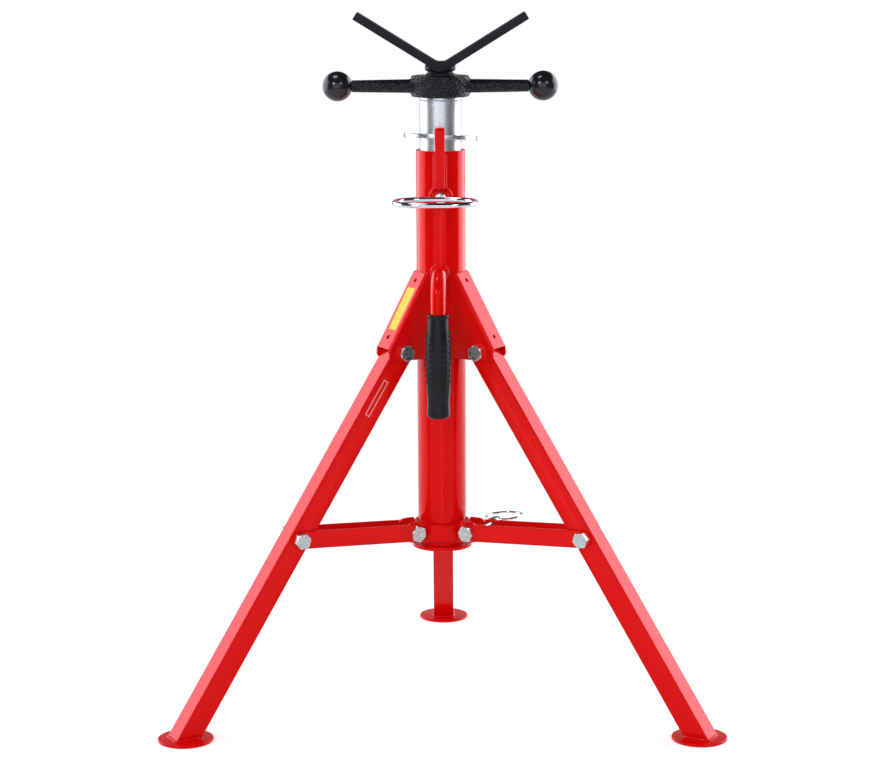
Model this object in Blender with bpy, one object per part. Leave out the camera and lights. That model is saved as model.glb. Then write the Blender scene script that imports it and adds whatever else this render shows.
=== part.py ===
"""Folding tripod jack stand for pipe, modelled at its real size as separate pieces.

Metres, +Z up. The stand rests on z = 0 and the middle of its footprint is the origin, so the mast
axis lies a little towards -Y. One leg points to the rear (+Y), one to the front left and one to the
front right. Run it with: blender --background --python part.py
"""

import math

import bmesh
import bpy
from mathutils import Matrix, Vector

# Gaps that pieces keep: seated or welded faces, and bolts in their holes.
SEAT_GAP = 0.0003
HOLE_GAP = 0.0003
CUT_OVERRUN = 0.005

# Outer tube and the ring round its bottom end.
OUTER_TUBE_DIAMETER = 0.057
OUTER_TUBE_WALL = 0.0035
OUTER_TUBE_TOP = 0.6576
OUTER_TUBE_BOTTOM = 0.1857
BOTTOM_RING_DIAMETER = 0.0712
BOTTOM_RING_HEIGHT = 0.0044
BOTTOM_RING_CHAMFER = 0.0008

# Inner tube.
INNER_TUBE_DIAMETER = 0.0483
INNER_TUBE_WALL = 0.003
INNER_TUBE_LENGTH = 0.494

# Legs: square tubes, measured along the leg from its pivot.
LEG_SIDE = 0.0254
LEG_WALL = 0.002
LEG_CORNER = 0.003
LEG_ANGLE = 33.8
LEG_PIVOT_RADIUS = 0.05705
LEG_PIVOT_HEIGHT = 0.4253
FOOT_INSET = 0.0035
FOOT_DIAMETER = 0.0635
FOOT_THICKNESS = 0.003
FOOT_CHAMFER = 0.0007

# Leg brackets: folded channels, also the clear width between their cheeks and a leg.
SIDE_PLAY = 0.0005
BRACKET_SHEET = 0.003
BRACKET_ABOVE_PIVOT = 0.0904
BRACKET_BELOW_PIVOT = 0.0094
STRIP_TOP_RADIUS = 0.0294
STRIP_END_RADIUS = 0.0785
STRIP_END_ABOVE_PIVOT = 0.0053
CHEEK_CORNER = 0.008
FOLD_RADIUS = 0.0025
STRIP_HOLE_DIAMETER = 0.004
STRIP_HOLES_ABOVE_PIVOT = (0.0814, 0.0178)

# Sliding collar and its ears.
COLLAR_DIAMETER = 0.066
COLLAR_HEIGHT = 0.0205
COLLAR_PLAY = 0.0005
COLLAR_CHAMFER = 0.0012
COLLAR_PIVOT_RADIUS = 0.04357
COLLAR_ABOVE_RING = 0.0064
COLLAR_BELOW_PIVOT = 0.0116
EAR_RADIUS = 0.0132
EAR_THICKNESS = 0.0035

# Braces: channels open on top. The web stops short of both ends, the outer bolt lies a little higher.
BRACE_RISE = 0.0108
BRACE_SHEET = 0.003
BRACE_DEPTH = 0.021
BRACE_WEB_START = 0.0125
BRACE_WEB_FREE_END = 0.054
BRACE_EDGE_RADIUS = 0.002

# Hex bolts and nuts.
BOLT_DIAMETER = 0.010
BOLT_FLATS = 0.017
BOLT_HEAD_HEIGHT = 0.0064
BOLT_TAIL = 0.002
NUT_HEIGHT = 0.008
HEX_CHAMFER = 0.0012

# T-handle nut.
HUB_DIAMETER = 0.0676
HUB_HEIGHT = 0.0242
HUB_ABOVE_TUBE = 0.0611
HUB_CHAMFER = 0.0012
ARM_ROOT_SIZE = 0.0158
ARM_TIP_SIZE = 0.0136
ARM_SPIGOT_DIAMETER = 0.009
ARM_SPIGOT_LENGTH = 0.014
BALL_DIAMETER = 0.0345
BALL_SPACING = 0.2375
BALL_MOUTH_DIAMETER = 0.0145

# Lift screw, thrust bush and their travel.
SCREW_DIAMETER = 0.030
SCREW_LENGTH = 0.172
SCREW_BORE_DIAMETER = 0.0186
SCREW_BORE_DEPTH = 0.050
SCREW_TIP_CHAMFER = 0.002
SCREW_LEAD = 0.006
SCREW_TRAVEL = 0.110
BUSH_FLANGE = 0.0032
BUSH_DEPTH = 0.014

# V cradle, and the socket under it whose stem drops into the screw.
V_SEAT_ABOVE_HUB = 0.0165
V_BAR_THICKNESS = 0.0094
V_BAR_WIDTH = 0.030
V_ARM_ANGLE = 31.6
V_HALF_SPAN = 0.0943
V_BEND_RADIUS = 0.0138
V_EDGE = 0.0008
STEM_DIAMETER = 0.018
STEM_LENGTH = 0.045
SOCKET_BASE_DIAMETER = 0.0335
SOCKET_BASE_HEIGHT = 0.004
SOCKET_NECK_DIAMETER = 0.0288
SOCKET_BEAD_DIAMETER = 0.0360
SOCKET_BEAD_ABOVE_HUB = 0.0084

# Lock bar and lock plate.
LOCK_BAR_WIDTH = 0.010
LOCK_BAR_ABOVE_CLAMP = 0.0108
LOCK_BAR_ABOVE_PLATE = 0.0104
LOCK_BAR_RADIUS = 0.048
LOCK_BAR_CORNER = 0.005
LOCK_SLOT_GAP = 0.0018
LOCK_PLATE_DIAMETER = 0.085
LOCK_PLATE_THICKNESS = 0.005
LOCK_PLATE_CHAMFER = 0.0006
LOCK_PLATE_PLAY = 0.0009
LOCK_PIVOT_RADIUS = 0.042
LOCK_PIVOT_ABOVE_TUBE = 0.0179
LOCK_PLATE_TILT = 5.25
LOCK_TILT_AXIS_TURN = -31.0

# Clamp nut, clamp screw and its oval ring.
CLAMP_BELOW_TUBE_TOP = 0.0522
CLAMP_NUT_FLATS = 0.018
CLAMP_NUT_THICKNESS = 0.0108
CLAMP_SCREW_DIAMETER = 0.012
CLAMP_SCREW_REACH = 0.0537
CLAMP_RING_WIRE = 0.006
CLAMP_RING_WIDTH = 0.0972
CLAMP_RING_DEPTH = 0.071
CLAMP_RING_OFFSET = -0.006

# Carry handle.
HANDLE_AZIMUTH = 267.4
HANDLE_ROD_DIAMETER = 0.017
HANDLE_ABOVE_BRACKETS = 0.0016
HANDLE_REACH = 0.072
HANDLE_BEND_RADIUS = 0.026
GRIP_BELOW_HANDLE = 0.042
GRIP_LENGTH = 0.121
GRIP_TOP_DIAMETER = 0.0238
GRIP_MIDDLE_DIAMETER = 0.0288
GRIP_MIDDLE_ABOVE_BOTTOM = 0.0778
GRIP_BOTTOM_DIAMETER = 0.0266
GRIP_FLOOR = 0.006
GRIP_EDGE = 0.004

# Lock pin in the right brace, and its ring.
PIN_ALONG_BRACE = 0.0168
PIN_ABOVE_MIDDLE = 0.006
PIN_DIAMETER = 0.006
PIN_HEAD_DIAMETER = 0.014
PIN_HEAD_LENGTH = 0.0128
PIN_EYE_HEIGHT = 0.0082
PIN_TIP_CHAMFER = 0.001
PIN_RING_DIAMETER = 0.0425
PIN_RING_WIRE = 0.0028
PIN_RING_RISE = 0.0031

# Roundness: sides of the turned pieces, and steps of a quarter round in an outline.
TUBE_SIDES = 48
ROD_SIDES = 16
BOLT_SIDES = 16
BALL_SIDES = 24
QUARTER_STEPS = 4

# Shares of an outline, and the roundness of a rolled edge.
BEVEL_ROUNDNESS_SHARE = 0.5
GRIP_PROFILE_SHARES = (0.0, 0.12, 0.36, 0.62, 0.82, 1.0)
RING_SQUARENESS_SHARE = 0.42

LEG_AZIMUTHS = {"rear": 90.0, "left": 210.0, "right": 330.0}
HEAD_SIDES = {"rear": 1.0, "left": 1.0, "right": -1.0}

COLOURS = {
    "red_paint": ((0.70, 0.012, 0.010), 0.0, 0.32),
    "zinc": ((0.62, 0.63, 0.64), 1.0, 0.30),
    "chrome": ((0.80, 0.81, 0.82), 1.0, 0.10),
    "hammered_black": ((0.022, 0.022, 0.024), 0.4, 0.38),
    "satin_black": ((0.018, 0.018, 0.019), 0.0, 0.45),
    "gloss_black": ((0.008, 0.008, 0.009), 0.0, 0.12),
    "rubber": ((0.020, 0.020, 0.021), 0.0, 0.70),
    "red_nut": ((0.62, 0.012, 0.010), 0.0, 0.38),
}


# Sizes that follow from the ones above.

OUTER_RADIUS = OUTER_TUBE_DIAMETER / 2
WELD_RADIUS = OUTER_RADIUS + SEAT_GAP
INNER_RADIUS = INNER_TUBE_DIAMETER / 2
CLEAR_WIDTH = LEG_SIDE + 2 * SIDE_PLAY
BRACKET_WIDTH = CLEAR_WIDTH + 2 * BRACKET_SHEET
BRACE_WIDTH = CLEAR_WIDTH + 2 * BRACE_SHEET
BRACKET_TOP = LEG_PIVOT_HEIGHT + BRACKET_ABOVE_PIVOT
BRACKET_BOTTOM = LEG_PIVOT_HEIGHT - BRACKET_BELOW_PIVOT
STRIP_END_HEIGHT = LEG_PIVOT_HEIGHT + STRIP_END_ABOVE_PIVOT
COLLAR_PIVOT_HEIGHT = OUTER_TUBE_BOTTOM + BOTTOM_RING_HEIGHT + COLLAR_ABOVE_RING + COLLAR_BELOW_PIVOT
CLAMP_HEIGHT = OUTER_TUBE_TOP - CLAMP_BELOW_TUBE_TOP
LOCK_PIVOT_HEIGHT = OUTER_TUBE_TOP + LOCK_PIVOT_ABOVE_TUBE
LOCK_BAR_BOTTOM = CLAMP_HEIGHT + LOCK_BAR_ABOVE_CLAMP
LOCK_BAR_TOP = LOCK_PIVOT_HEIGHT + LOCK_BAR_ABOVE_PLATE
HANDLE_HEIGHT = BRACKET_TOP + HANDLE_ABOVE_BRACKETS
GRIP_TOP = HANDLE_HEIGHT - GRIP_BELOW_HANDLE
GRIP_BOTTOM = GRIP_TOP - GRIP_LENGTH
GRIP_MIDDLE_HEIGHT = GRIP_BOTTOM + GRIP_MIDDLE_ABOVE_BOTTOM
HUB_BOTTOM = OUTER_TUBE_TOP + HUB_ABOVE_TUBE
HUB_TOP = HUB_BOTTOM + HUB_HEIGHT
V_SEAT_HEIGHT = HUB_TOP + V_SEAT_ABOVE_HUB
SOCKET_BEAD_HEIGHT = HUB_TOP + SOCKET_BEAD_ABOVE_HUB
ARM_HEIGHT = HUB_BOTTOM + HUB_HEIGHT / 2
BUSH_TOP = HUB_BOTTOM - SEAT_GAP
INNER_TUBE_TOP = BUSH_TOP - BUSH_FLANGE - SEAT_GAP
INNER_TUBE_BOTTOM = INNER_TUBE_TOP - INNER_TUBE_LENGTH
SOCKET_BOTTOM = HUB_TOP + SEAT_GAP
SCREW_TOP = SOCKET_BOTTOM - SEAT_GAP
GRIP_BORE = HANDLE_ROD_DIAMETER + 2 * SEAT_GAP
LEG_LENGTH_TO_FLOOR = LEG_PIVOT_HEIGHT / math.cos(math.radians(LEG_ANGLE))
FOOT_RADIUS = LEG_PIVOT_RADIUS + LEG_LENGTH_TO_FLOOR * math.sin(math.radians(LEG_ANGLE)) - FOOT_INSET
BRACE_PIVOT_DROP = LEG_PIVOT_HEIGHT - COLLAR_PIVOT_HEIGHT - BRACE_RISE
BRACE_PIVOT_ALONG_LEG = BRACE_PIVOT_DROP / math.cos(math.radians(LEG_ANGLE))
MAST_OFFSET = -FOOT_RADIUS / 4


def on_leg(angle: float, distance: float) -> Vector:
    """Point (radius, height) at a distance down a leg that stands at this angle from the vertical."""
    turn = math.radians(angle)
    radius = LEG_PIVOT_RADIUS + distance * math.sin(turn)
    return Vector((radius, LEG_PIVOT_HEIGHT - distance * math.cos(turn)))


BRACE_VECTOR = on_leg(LEG_ANGLE, BRACE_PIVOT_ALONG_LEG) - Vector((COLLAR_PIVOT_RADIUS, COLLAR_PIVOT_HEIGHT))
BRACE_LENGTH = BRACE_VECTOR.length
BRACE_ANGLE = math.degrees(math.atan2(BRACE_VECTOR.y, BRACE_VECTOR.x))


def folded_pose(leg_angle: float) -> tuple[float, float]:
    """Brace angle and collar pivot height at which the linkage closes for this leg angle."""
    pivot = on_leg(leg_angle, BRACE_PIVOT_ALONG_LEG)
    drop = math.acos((pivot.x - COLLAR_PIVOT_RADIUS) / BRACE_LENGTH)
    return -math.degrees(drop), pivot.y + BRACE_LENGTH * math.sin(drop)


def ear_clearance(leg_angle: float) -> float:
    """How far a folded leg's inner face lies from the round nose of the collar's ears."""
    height = folded_pose(leg_angle)[1]
    turn = math.radians(leg_angle)
    across = (LEG_PIVOT_RADIUS - COLLAR_PIVOT_RADIUS) * math.cos(turn)
    across += (LEG_PIVOT_HEIGHT - height) * math.sin(turn)
    return across - LEG_SIDE / 2 - EAR_RADIUS


def folded_leg_angle() -> float:
    """The leg angle at which the leg comes to rest against the ears, found by halving."""
    low, high = 0.0, LEG_ANGLE
    for _ in range(60):
        middle = (low + high) / 2
        if ear_clearance(middle) > SIDE_PLAY:
            high = middle
        else:
            low = middle
    return high


FOLDED_LEG_ANGLE = folded_leg_angle()
FOLDED_BRACE_ANGLE, FOLDED_COLLAR_HEIGHT = folded_pose(FOLDED_LEG_ANGLE)
COLLAR_TRAVEL = FOLDED_COLLAR_HEIGHT - COLLAR_PIVOT_HEIGHT


def open_pivot_drift(share: float) -> Vector:
    """Where the brace bolt lies at this share of the fold, in the brace's own frame.

    The three joints of the fold keep constant ratios, so between its two ends the bolt, which rides on
    the leg, wanders from the end of the brace. The result is (along the brace, across it).
    """
    leg_angle = LEG_ANGLE + (FOLDED_LEG_ANGLE - LEG_ANGLE) * share
    brace_angle = math.radians(BRACE_ANGLE + (FOLDED_BRACE_ANGLE - BRACE_ANGLE) * share)
    collar = Vector((COLLAR_PIVOT_RADIUS, COLLAR_PIVOT_HEIGHT + COLLAR_TRAVEL * share))
    offset = on_leg(leg_angle, BRACE_PIVOT_ALONG_LEG) - collar
    along = Vector((math.cos(brace_angle), math.sin(brace_angle)))
    across = Vector((-math.sin(brace_angle), math.cos(brace_angle)))
    return Vector((offset.dot(along), offset.dot(across)))


# Outlines.


def arc(centre: tuple[float, float], radius: float, start: float, end: float, steps: int) -> list:
    """Points of a circular arc, from one angle to another, in degrees."""
    points = []
    for step in range(steps + 1):
        turn = math.radians(start + (end - start) * step / steps)
        points.append((centre[0] + radius * math.cos(turn), centre[1] + radius * math.sin(turn)))
    return points


def circle(centre: tuple[float, float], radius: float, sides: int) -> list:
    """Points of a full circle."""
    return arc(centre, radius, 0, 360 - 360 / sides, sides - 1)


def rectangle(low: tuple[float, float], high: tuple[float, float]) -> list:
    """The four corners between two opposite ones."""
    return [low, (high[0], low[1]), high, (low[0], high[1])]


def rounded_square(half: float, corner: float) -> list:
    """A square about the origin with round corners."""
    middle = half - corner
    points = []
    for index, (x, y) in enumerate(((middle, middle), (-middle, middle), (-middle, -middle), (middle, -middle))):
        points += arc((x, y), corner, 90 * index, 90 * index + 90, QUARTER_STEPS)
    return points


def hull(points: list) -> list:
    """The convex outline round a set of points."""

    def half(ordered: list) -> list:
        chain = []
        for point in ordered:
            while len(chain) > 1 and turn_of(chain[-2], chain[-1], point) <= 0:
                chain.pop()
            chain.append(point)
        return chain[:-1]

    def turn_of(a: tuple, b: tuple, c: tuple) -> float:
        return (b[0] - a[0]) * (c[1] - a[1]) - (b[1] - a[1]) * (c[0] - a[0])

    ordered = sorted(points)
    return half(ordered) + half(ordered[::-1])


# Solids.


def add_mesh(name: str, build: bmesh.types.BMesh) -> bpy.types.Object:
    """Turns a bmesh into an object in the scene, with its faces pointing out."""
    bmesh.ops.recalc_face_normals(build, faces=build.faces)
    mesh = bpy.data.meshes.new(name)
    build.to_mesh(mesh)
    build.free()
    obj = bpy.data.objects.new(name, mesh)
    bpy.context.scene.collection.objects.link(obj)
    return obj


def prism(name: str, outline: list, low: float, high: float, axis: str) -> bpy.types.Object:
    """An outline pushed along an axis. On axis Y the outline's pair is (x, z), on Z (x, y) and on X (y, z)."""
    order = {"X": lambda u, v, w: (w, u, v), "Y": lambda u, v, w: (u, w, v), "Z": lambda u, v, w: (u, v, w)}[axis]
    build = bmesh.new()
    rows = []
    for level in (low, high):
        rows.append([build.verts.new(order(u, v, level)) for u, v in outline])
    build.faces.new(rows[0])
    build.faces.new(rows[1][::-1])
    count = len(outline)
    for index in range(count):
        after = (index + 1) % count
        build.faces.new((rows[0][index], rows[0][after], rows[1][after], rows[1][index]))
    return add_mesh(name, build)


def turned(name: str, profile: list, sides: int, closed: bool = False) -> bpy.types.Object:
    """A profile of (radius, height) turned about Z. An open profile starts and ends on the axis."""
    build = bmesh.new()
    rings = []
    for radius, height in profile:
        if radius == 0:
            rings.append([build.verts.new((0, 0, height))])
            continue
        ring = []
        for x, y in circle((0, 0), radius, sides):
            ring.append(build.verts.new((x, y, height)))
        rings.append(ring)
    pairs = list(zip(rings, rings[1:]))
    if closed:
        pairs.append((rings[-1], rings[0]))
    for first, second in pairs:
        for index in range(sides):
            after = (index + 1) % sides
            if len(first) == 1:
                build.faces.new((first[0], second[index], second[after]))
            elif len(second) == 1:
                build.faces.new((first[index], second[0], first[after]))
            else:
                build.faces.new((first[index], second[index], second[after], first[after]))
    return add_mesh(name, build)


def swept(name: str, path: list, radius: float, sides: int, closed: bool = False) -> bpy.types.Object:
    """A round rod along points that lie in one plane."""
    build = bmesh.new()
    count = len(path)
    normal = (path[1] - path[0]).cross(path[-1] - path[0]).normalized()
    rings = []
    for index, point in enumerate(path):
        before = path[index - 1] if index or closed else point
        after = path[(index + 1) % count] if index < count - 1 or closed else point
        side = (after - before).normalized().cross(normal)
        ring = []
        for u, v in circle((0, 0), radius, sides):
            ring.append(build.verts.new(point + side * u + normal * v))
        rings.append(ring)
    pairs = list(zip(rings, rings[1:]))
    if closed:
        pairs.append((rings[-1], rings[0]))
    else:
        build.faces.new(rings[0])
        build.faces.new(rings[-1][::-1])
    for first, second in pairs:
        for index in range(sides):
            after = (index + 1) % sides
            build.faces.new((first[index], second[index], second[after], first[after]))
    return add_mesh(name, build)


def bake(obj: bpy.types.Object) -> None:
    """Replaces an object's mesh with what its modifiers make of it."""
    graph = bpy.context.evaluated_depsgraph_get()
    mesh = bpy.data.meshes.new_from_object(obj.evaluated_get(graph))
    obj.modifiers.clear()
    obj.data = mesh


def combine(body: bpy.types.Object, tool: bpy.types.Object, operation: str) -> None:
    """Cuts, joins or intersects a body with a tool, which is then removed."""
    modifier = body.modifiers.new(operation.lower(), "BOOLEAN")
    modifier.operation = operation
    modifier.solver = "EXACT"
    modifier.object = tool
    bake(body)
    bpy.data.objects.remove(tool)


def cut(body: bpy.types.Object, tool: bpy.types.Object) -> None:
    """Takes the tool out of the body."""
    combine(body, tool, "DIFFERENCE")


def join(body: bpy.types.Object, tool: bpy.types.Object) -> None:
    """Adds the tool to the body."""
    combine(body, tool, "UNION")


def keep(body: bpy.types.Object, tool: bpy.types.Object) -> None:
    """Keeps only what lies inside the tool."""
    combine(body, tool, "INTERSECT")


def shift(obj: bpy.types.Object, matrix: Matrix) -> bpy.types.Object:
    """Moves an object's mesh, not its origin."""
    obj.data.transform(matrix)
    return obj


def round_edges(obj: bpy.types.Object, width: float, segments: int, wanted) -> None:
    """Rounds the edges whose two ends satisfy the test."""
    build = bmesh.new()
    build.from_mesh(obj.data)
    edges = [edge for edge in build.edges if wanted(edge.verts[0].co, edge.verts[1].co)]
    bmesh.ops.bevel(build, geom=edges, offset=width, segments=segments, profile=BEVEL_ROUNDNESS_SHARE, affect="EDGES")
    build.to_mesh(obj.data)
    build.free()


def hexagon(flats: float) -> list:
    """A hexagon of this width across its flats."""
    return circle((0, 0), flats / math.sqrt(3), 6)


def hex_block(name: str, flats: float, low: float, high: float, chamfer_low: bool) -> bpy.types.Object:
    """A hexagonal block along Z whose corners are turned off at the top, and at the bottom if asked."""
    corner = flats / math.sqrt(3)
    inner = flats / 2
    drop = (corner - inner) / math.sqrt(3) + HEX_CHAMFER / 2
    block = prism(name, hexagon(flats), low, high, "Z")
    profile = [(0, high + CUT_OVERRUN), (inner, high + CUT_OVERRUN), (inner, high)]
    profile.append((corner + HEX_CHAMFER, high - drop))
    if chamfer_low:
        profile.append((corner + HEX_CHAMFER, low + drop))
        profile.append((inner, low))
        profile.append((inner, low - CUT_OVERRUN))
    else:
        profile.append((corner + HEX_CHAMFER, low - CUT_OVERRUN))
    profile.append((0, low - CUT_OVERRUN))
    keep(block, turned(name + "_chamfer", profile, TUBE_SIDES))
    return block


# Materials, frames and placing.


def make_materials() -> dict:
    """One Principled material for each finish."""
    made = {}
    for name, (colour, metallic, roughness) in COLOURS.items():
        material = bpy.data.materials.new(name)
        material.use_nodes = True
        shader = material.node_tree.nodes["Principled BSDF"]
        shader.inputs["Base Color"].default_value = (*colour, 1.0)
        shader.inputs["Metallic"].default_value = metallic
        shader.inputs["Roughness"].default_value = roughness
        made[name] = material
    return made


def frame(name: str, parent: bpy.types.Object | None, place: Vector, rotation: Matrix | None = None):
    """An empty that carries pieces, at a joint or a datum."""
    empty = bpy.data.objects.new(name, None)
    bpy.context.scene.collection.objects.link(empty)
    empty.parent = parent
    turn = rotation or Matrix.Identity(4)
    empty.matrix_local = Matrix.Translation(place) @ turn
    return empty


def finish(obj: bpy.types.Object, material: bpy.types.Material, parent: bpy.types.Object) -> bpy.types.Object:
    """Gives a piece its material, its shading and its parent."""
    obj.data.materials.clear()
    obj.data.materials.append(material)
    obj.data.shade_smooth()
    obj.data.set_sharp_from_angle(angle=math.radians(35))
    obj.parent = parent
    return obj


def copy_of(piece: bpy.types.Object, name: str, parent: bpy.types.Object) -> bpy.types.Object:
    """Another object that shares a finished piece's mesh."""
    twin = bpy.data.objects.new(name, piece.data)
    bpy.context.scene.collection.objects.link(twin)
    twin.parent = parent
    return twin


def cylinder(name: str, radius: float, low: float, high: float, sides: int, axis: str = "Z"):
    """A plain round cylinder along an axis through the origin."""
    return prism(name, circle((0, 0), radius, sides), low, high, axis)


# Frame: outer tube and what is welded to it.


def make_outer_tube(materials: dict, mast: bpy.types.Object) -> None:
    """The red tube, bored for the inner tube and drilled for the clamp screw, and its bottom ring."""
    bore = OUTER_RADIUS - OUTER_TUBE_WALL
    wall = [(bore, OUTER_TUBE_BOTTOM), (OUTER_RADIUS, OUTER_TUBE_BOTTOM)]
    wall += [(OUTER_RADIUS, OUTER_TUBE_TOP), (bore, OUTER_TUBE_TOP)]
    tube = turned("outer_tube", wall, TUBE_SIDES, closed=True)
    drill = cylinder("drill", CLAMP_SCREW_DIAMETER / 2 + HOLE_GAP, -OUTER_TUBE_DIAMETER, 0, BOLT_SIDES, "Y")
    cut(tube, shift(drill, Matrix.Translation((0, 0, CLAMP_HEIGHT))))
    finish(tube, materials["red_paint"], mast)

    rim = BOTTOM_RING_DIAMETER / 2
    top = OUTER_TUBE_BOTTOM + BOTTOM_RING_HEIGHT
    ring = [(WELD_RADIUS, OUTER_TUBE_BOTTOM), (rim - BOTTOM_RING_CHAMFER, OUTER_TUBE_BOTTOM)]
    ring += [(rim, OUTER_TUBE_BOTTOM + BOTTOM_RING_CHAMFER), (rim, top - BOTTOM_RING_CHAMFER)]
    ring += [(rim - BOTTOM_RING_CHAMFER, top), (WELD_RADIUS, top)]
    finish(turned("bottom_ring", ring, TUBE_SIDES, closed=True), materials["red_paint"], mast)


def bracket_outline() -> list:
    """Side view of a leg bracket, (radius, height), from the mast axis out."""
    corner = (STRIP_END_RADIUS - CHEEK_CORNER, BRACKET_BOTTOM + CHEEK_CORNER)
    points = [(0, BRACKET_BOTTOM), (0, BRACKET_TOP), (STRIP_TOP_RADIUS, BRACKET_TOP)]
    points.append((STRIP_END_RADIUS, STRIP_END_HEIGHT))
    return points + arc(corner, CHEEK_CORNER, 0, -90, 2 * QUARTER_STEPS)


def make_bracket(materials: dict) -> bpy.types.Object:
    """One folded channel: a sloping strip over two cheeks, shaped to the tube that it is welded to."""
    half = BRACKET_WIDTH / 2
    bracket = prism("leg_bracket", bracket_outline(), -half, half, "Y")

    slope = Vector((STRIP_END_RADIUS - STRIP_TOP_RADIUS, STRIP_END_HEIGHT - BRACKET_TOP)).normalized()
    outward = Vector((-slope.y, slope.x))
    strip_end = Vector((STRIP_END_RADIUS, STRIP_END_HEIGHT))

    def on_fold(a: Vector, b: Vector) -> bool:
        for point in (a, b):
            if abs((Vector((point.x, point.z)) - strip_end).dot(outward)) > SEAT_GAP:
                return False
        return abs(a.y - b.y) < SEAT_GAP

    round_edges(bracket, FOLD_RADIUS, QUARTER_STEPS, on_fold)

    inner_end = strip_end - outward * BRACKET_SHEET - slope * SEAT_GAP
    inner_start = inner_end - slope * (inner_end.x / slope.x)
    beyond = inner_end + outward * BRACKET_WIDTH
    below = BRACKET_BOTTOM - CUT_OVERRUN
    pocket = [tuple(inner_start), tuple(inner_end), tuple(beyond), (beyond.x, below), (-CUT_OVERRUN, below)]
    pocket.append((-CUT_OVERRUN, inner_start.y))
    cut(bracket, prism("pocket", pocket, -CLEAR_WIDTH / 2, CLEAR_WIDTH / 2, "Y"))
    cut(bracket, cylinder("tube", WELD_RADIUS, 0, OUTER_TUBE_TOP, TUBE_SIDES))

    tilt = math.atan2(outward.x, outward.y)
    for height in STRIP_HOLES_ABOVE_PIVOT:
        reach = (height - STRIP_END_ABOVE_PIVOT) / slope.y
        place = strip_end + slope * reach
        drill = cylinder("drill", STRIP_HOLE_DIAMETER / 2, -BRACKET_SHEET * 2, BRACKET_SHEET, BOLT_SIDES)
        move = Matrix.Translation((place.x, 0, place.y)) @ Matrix.Rotation(tilt, 4, "Y")
        cut(bracket, shift(drill, move))

    bolt_hole = cylinder("drill", BOLT_DIAMETER / 2 + HOLE_GAP, -BRACKET_WIDTH, BRACKET_WIDTH, BOLT_SIDES, "Y")
    cut(bracket, shift(bolt_hole, Matrix.Translation((LEG_PIVOT_RADIUS, 0, LEG_PIVOT_HEIGHT))))
    bracket.data.materials.append(materials["red_paint"])
    return bracket


def make_lock_bar(materials: dict, mast: bpy.types.Object) -> None:
    """The flat bar on edge whose slot holds the lock plate."""
    inner, outer = WELD_RADIUS, LOCK_BAR_RADIUS
    corner = (outer - LOCK_BAR_CORNER, LOCK_BAR_TOP - LOCK_BAR_CORNER)
    outline = [(inner, LOCK_BAR_BOTTOM), (outer, LOCK_BAR_BOTTOM)]
    outline += arc(corner, LOCK_BAR_CORNER, 0, 90, QUARTER_STEPS)
    outline.append((inner, LOCK_BAR_TOP))
    bar = prism("lock_bar", outline, -LOCK_BAR_WIDTH / 2, LOCK_BAR_WIDTH / 2, "Y")
    slot_half = LOCK_PLATE_THICKNESS / 2 + LOCK_SLOT_GAP
    deep = LOCK_PLATE_DIAMETER / 2 + LOCK_SLOT_GAP
    slot = rectangle((0, LOCK_PIVOT_HEIGHT - slot_half), (deep, LOCK_PIVOT_HEIGHT + slot_half))
    cut(bar, prism("slot", slot, -LOCK_BAR_WIDTH, LOCK_BAR_WIDTH, "Y"))
    shift(bar, Matrix.Rotation(math.radians(-90), 4, "Z"))
    finish(bar, materials["red_paint"], mast)


def make_clamp_nut(materials: dict, mast: bpy.types.Object) -> None:
    """The hex nut welded to the tube, shaped to it at the back."""
    nut = hex_block("clamp_nut", CLAMP_NUT_FLATS, 0, OUTER_RADIUS + CLAMP_NUT_THICKNESS, False)
    shift(nut, Matrix.Rotation(math.radians(30), 4, "Z"))
    cut(nut, cylinder("bore", CLAMP_SCREW_DIAMETER / 2 + HOLE_GAP, -OUTER_RADIUS, OUTER_TUBE_DIAMETER, BOLT_SIDES))
    shift(nut, Matrix.Rotation(math.radians(90), 4, "X"))
    shift(nut, Matrix.Translation((0, 0, CLAMP_HEIGHT)))
    cut(nut, cylinder("tube", WELD_RADIUS, 0, OUTER_TUBE_TOP, TUBE_SIDES))
    finish(nut, materials["red_nut"], mast)


def handle_path() -> list:
    """The rod's middle line in the handle's own plane: out from the tube, round the elbow and down."""
    centre = (HANDLE_REACH - HANDLE_BEND_RADIUS, HANDLE_HEIGHT - HANDLE_BEND_RADIUS)
    flat = [(0, HANDLE_HEIGHT)] + arc(centre, HANDLE_BEND_RADIUS, 90, 0, 2 * QUARTER_STEPS)
    flat.append((HANDLE_REACH, GRIP_BOTTOM + GRIP_FLOOR + SEAT_GAP))
    return [Vector((radius, 0, height)) for radius, height in flat]


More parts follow.
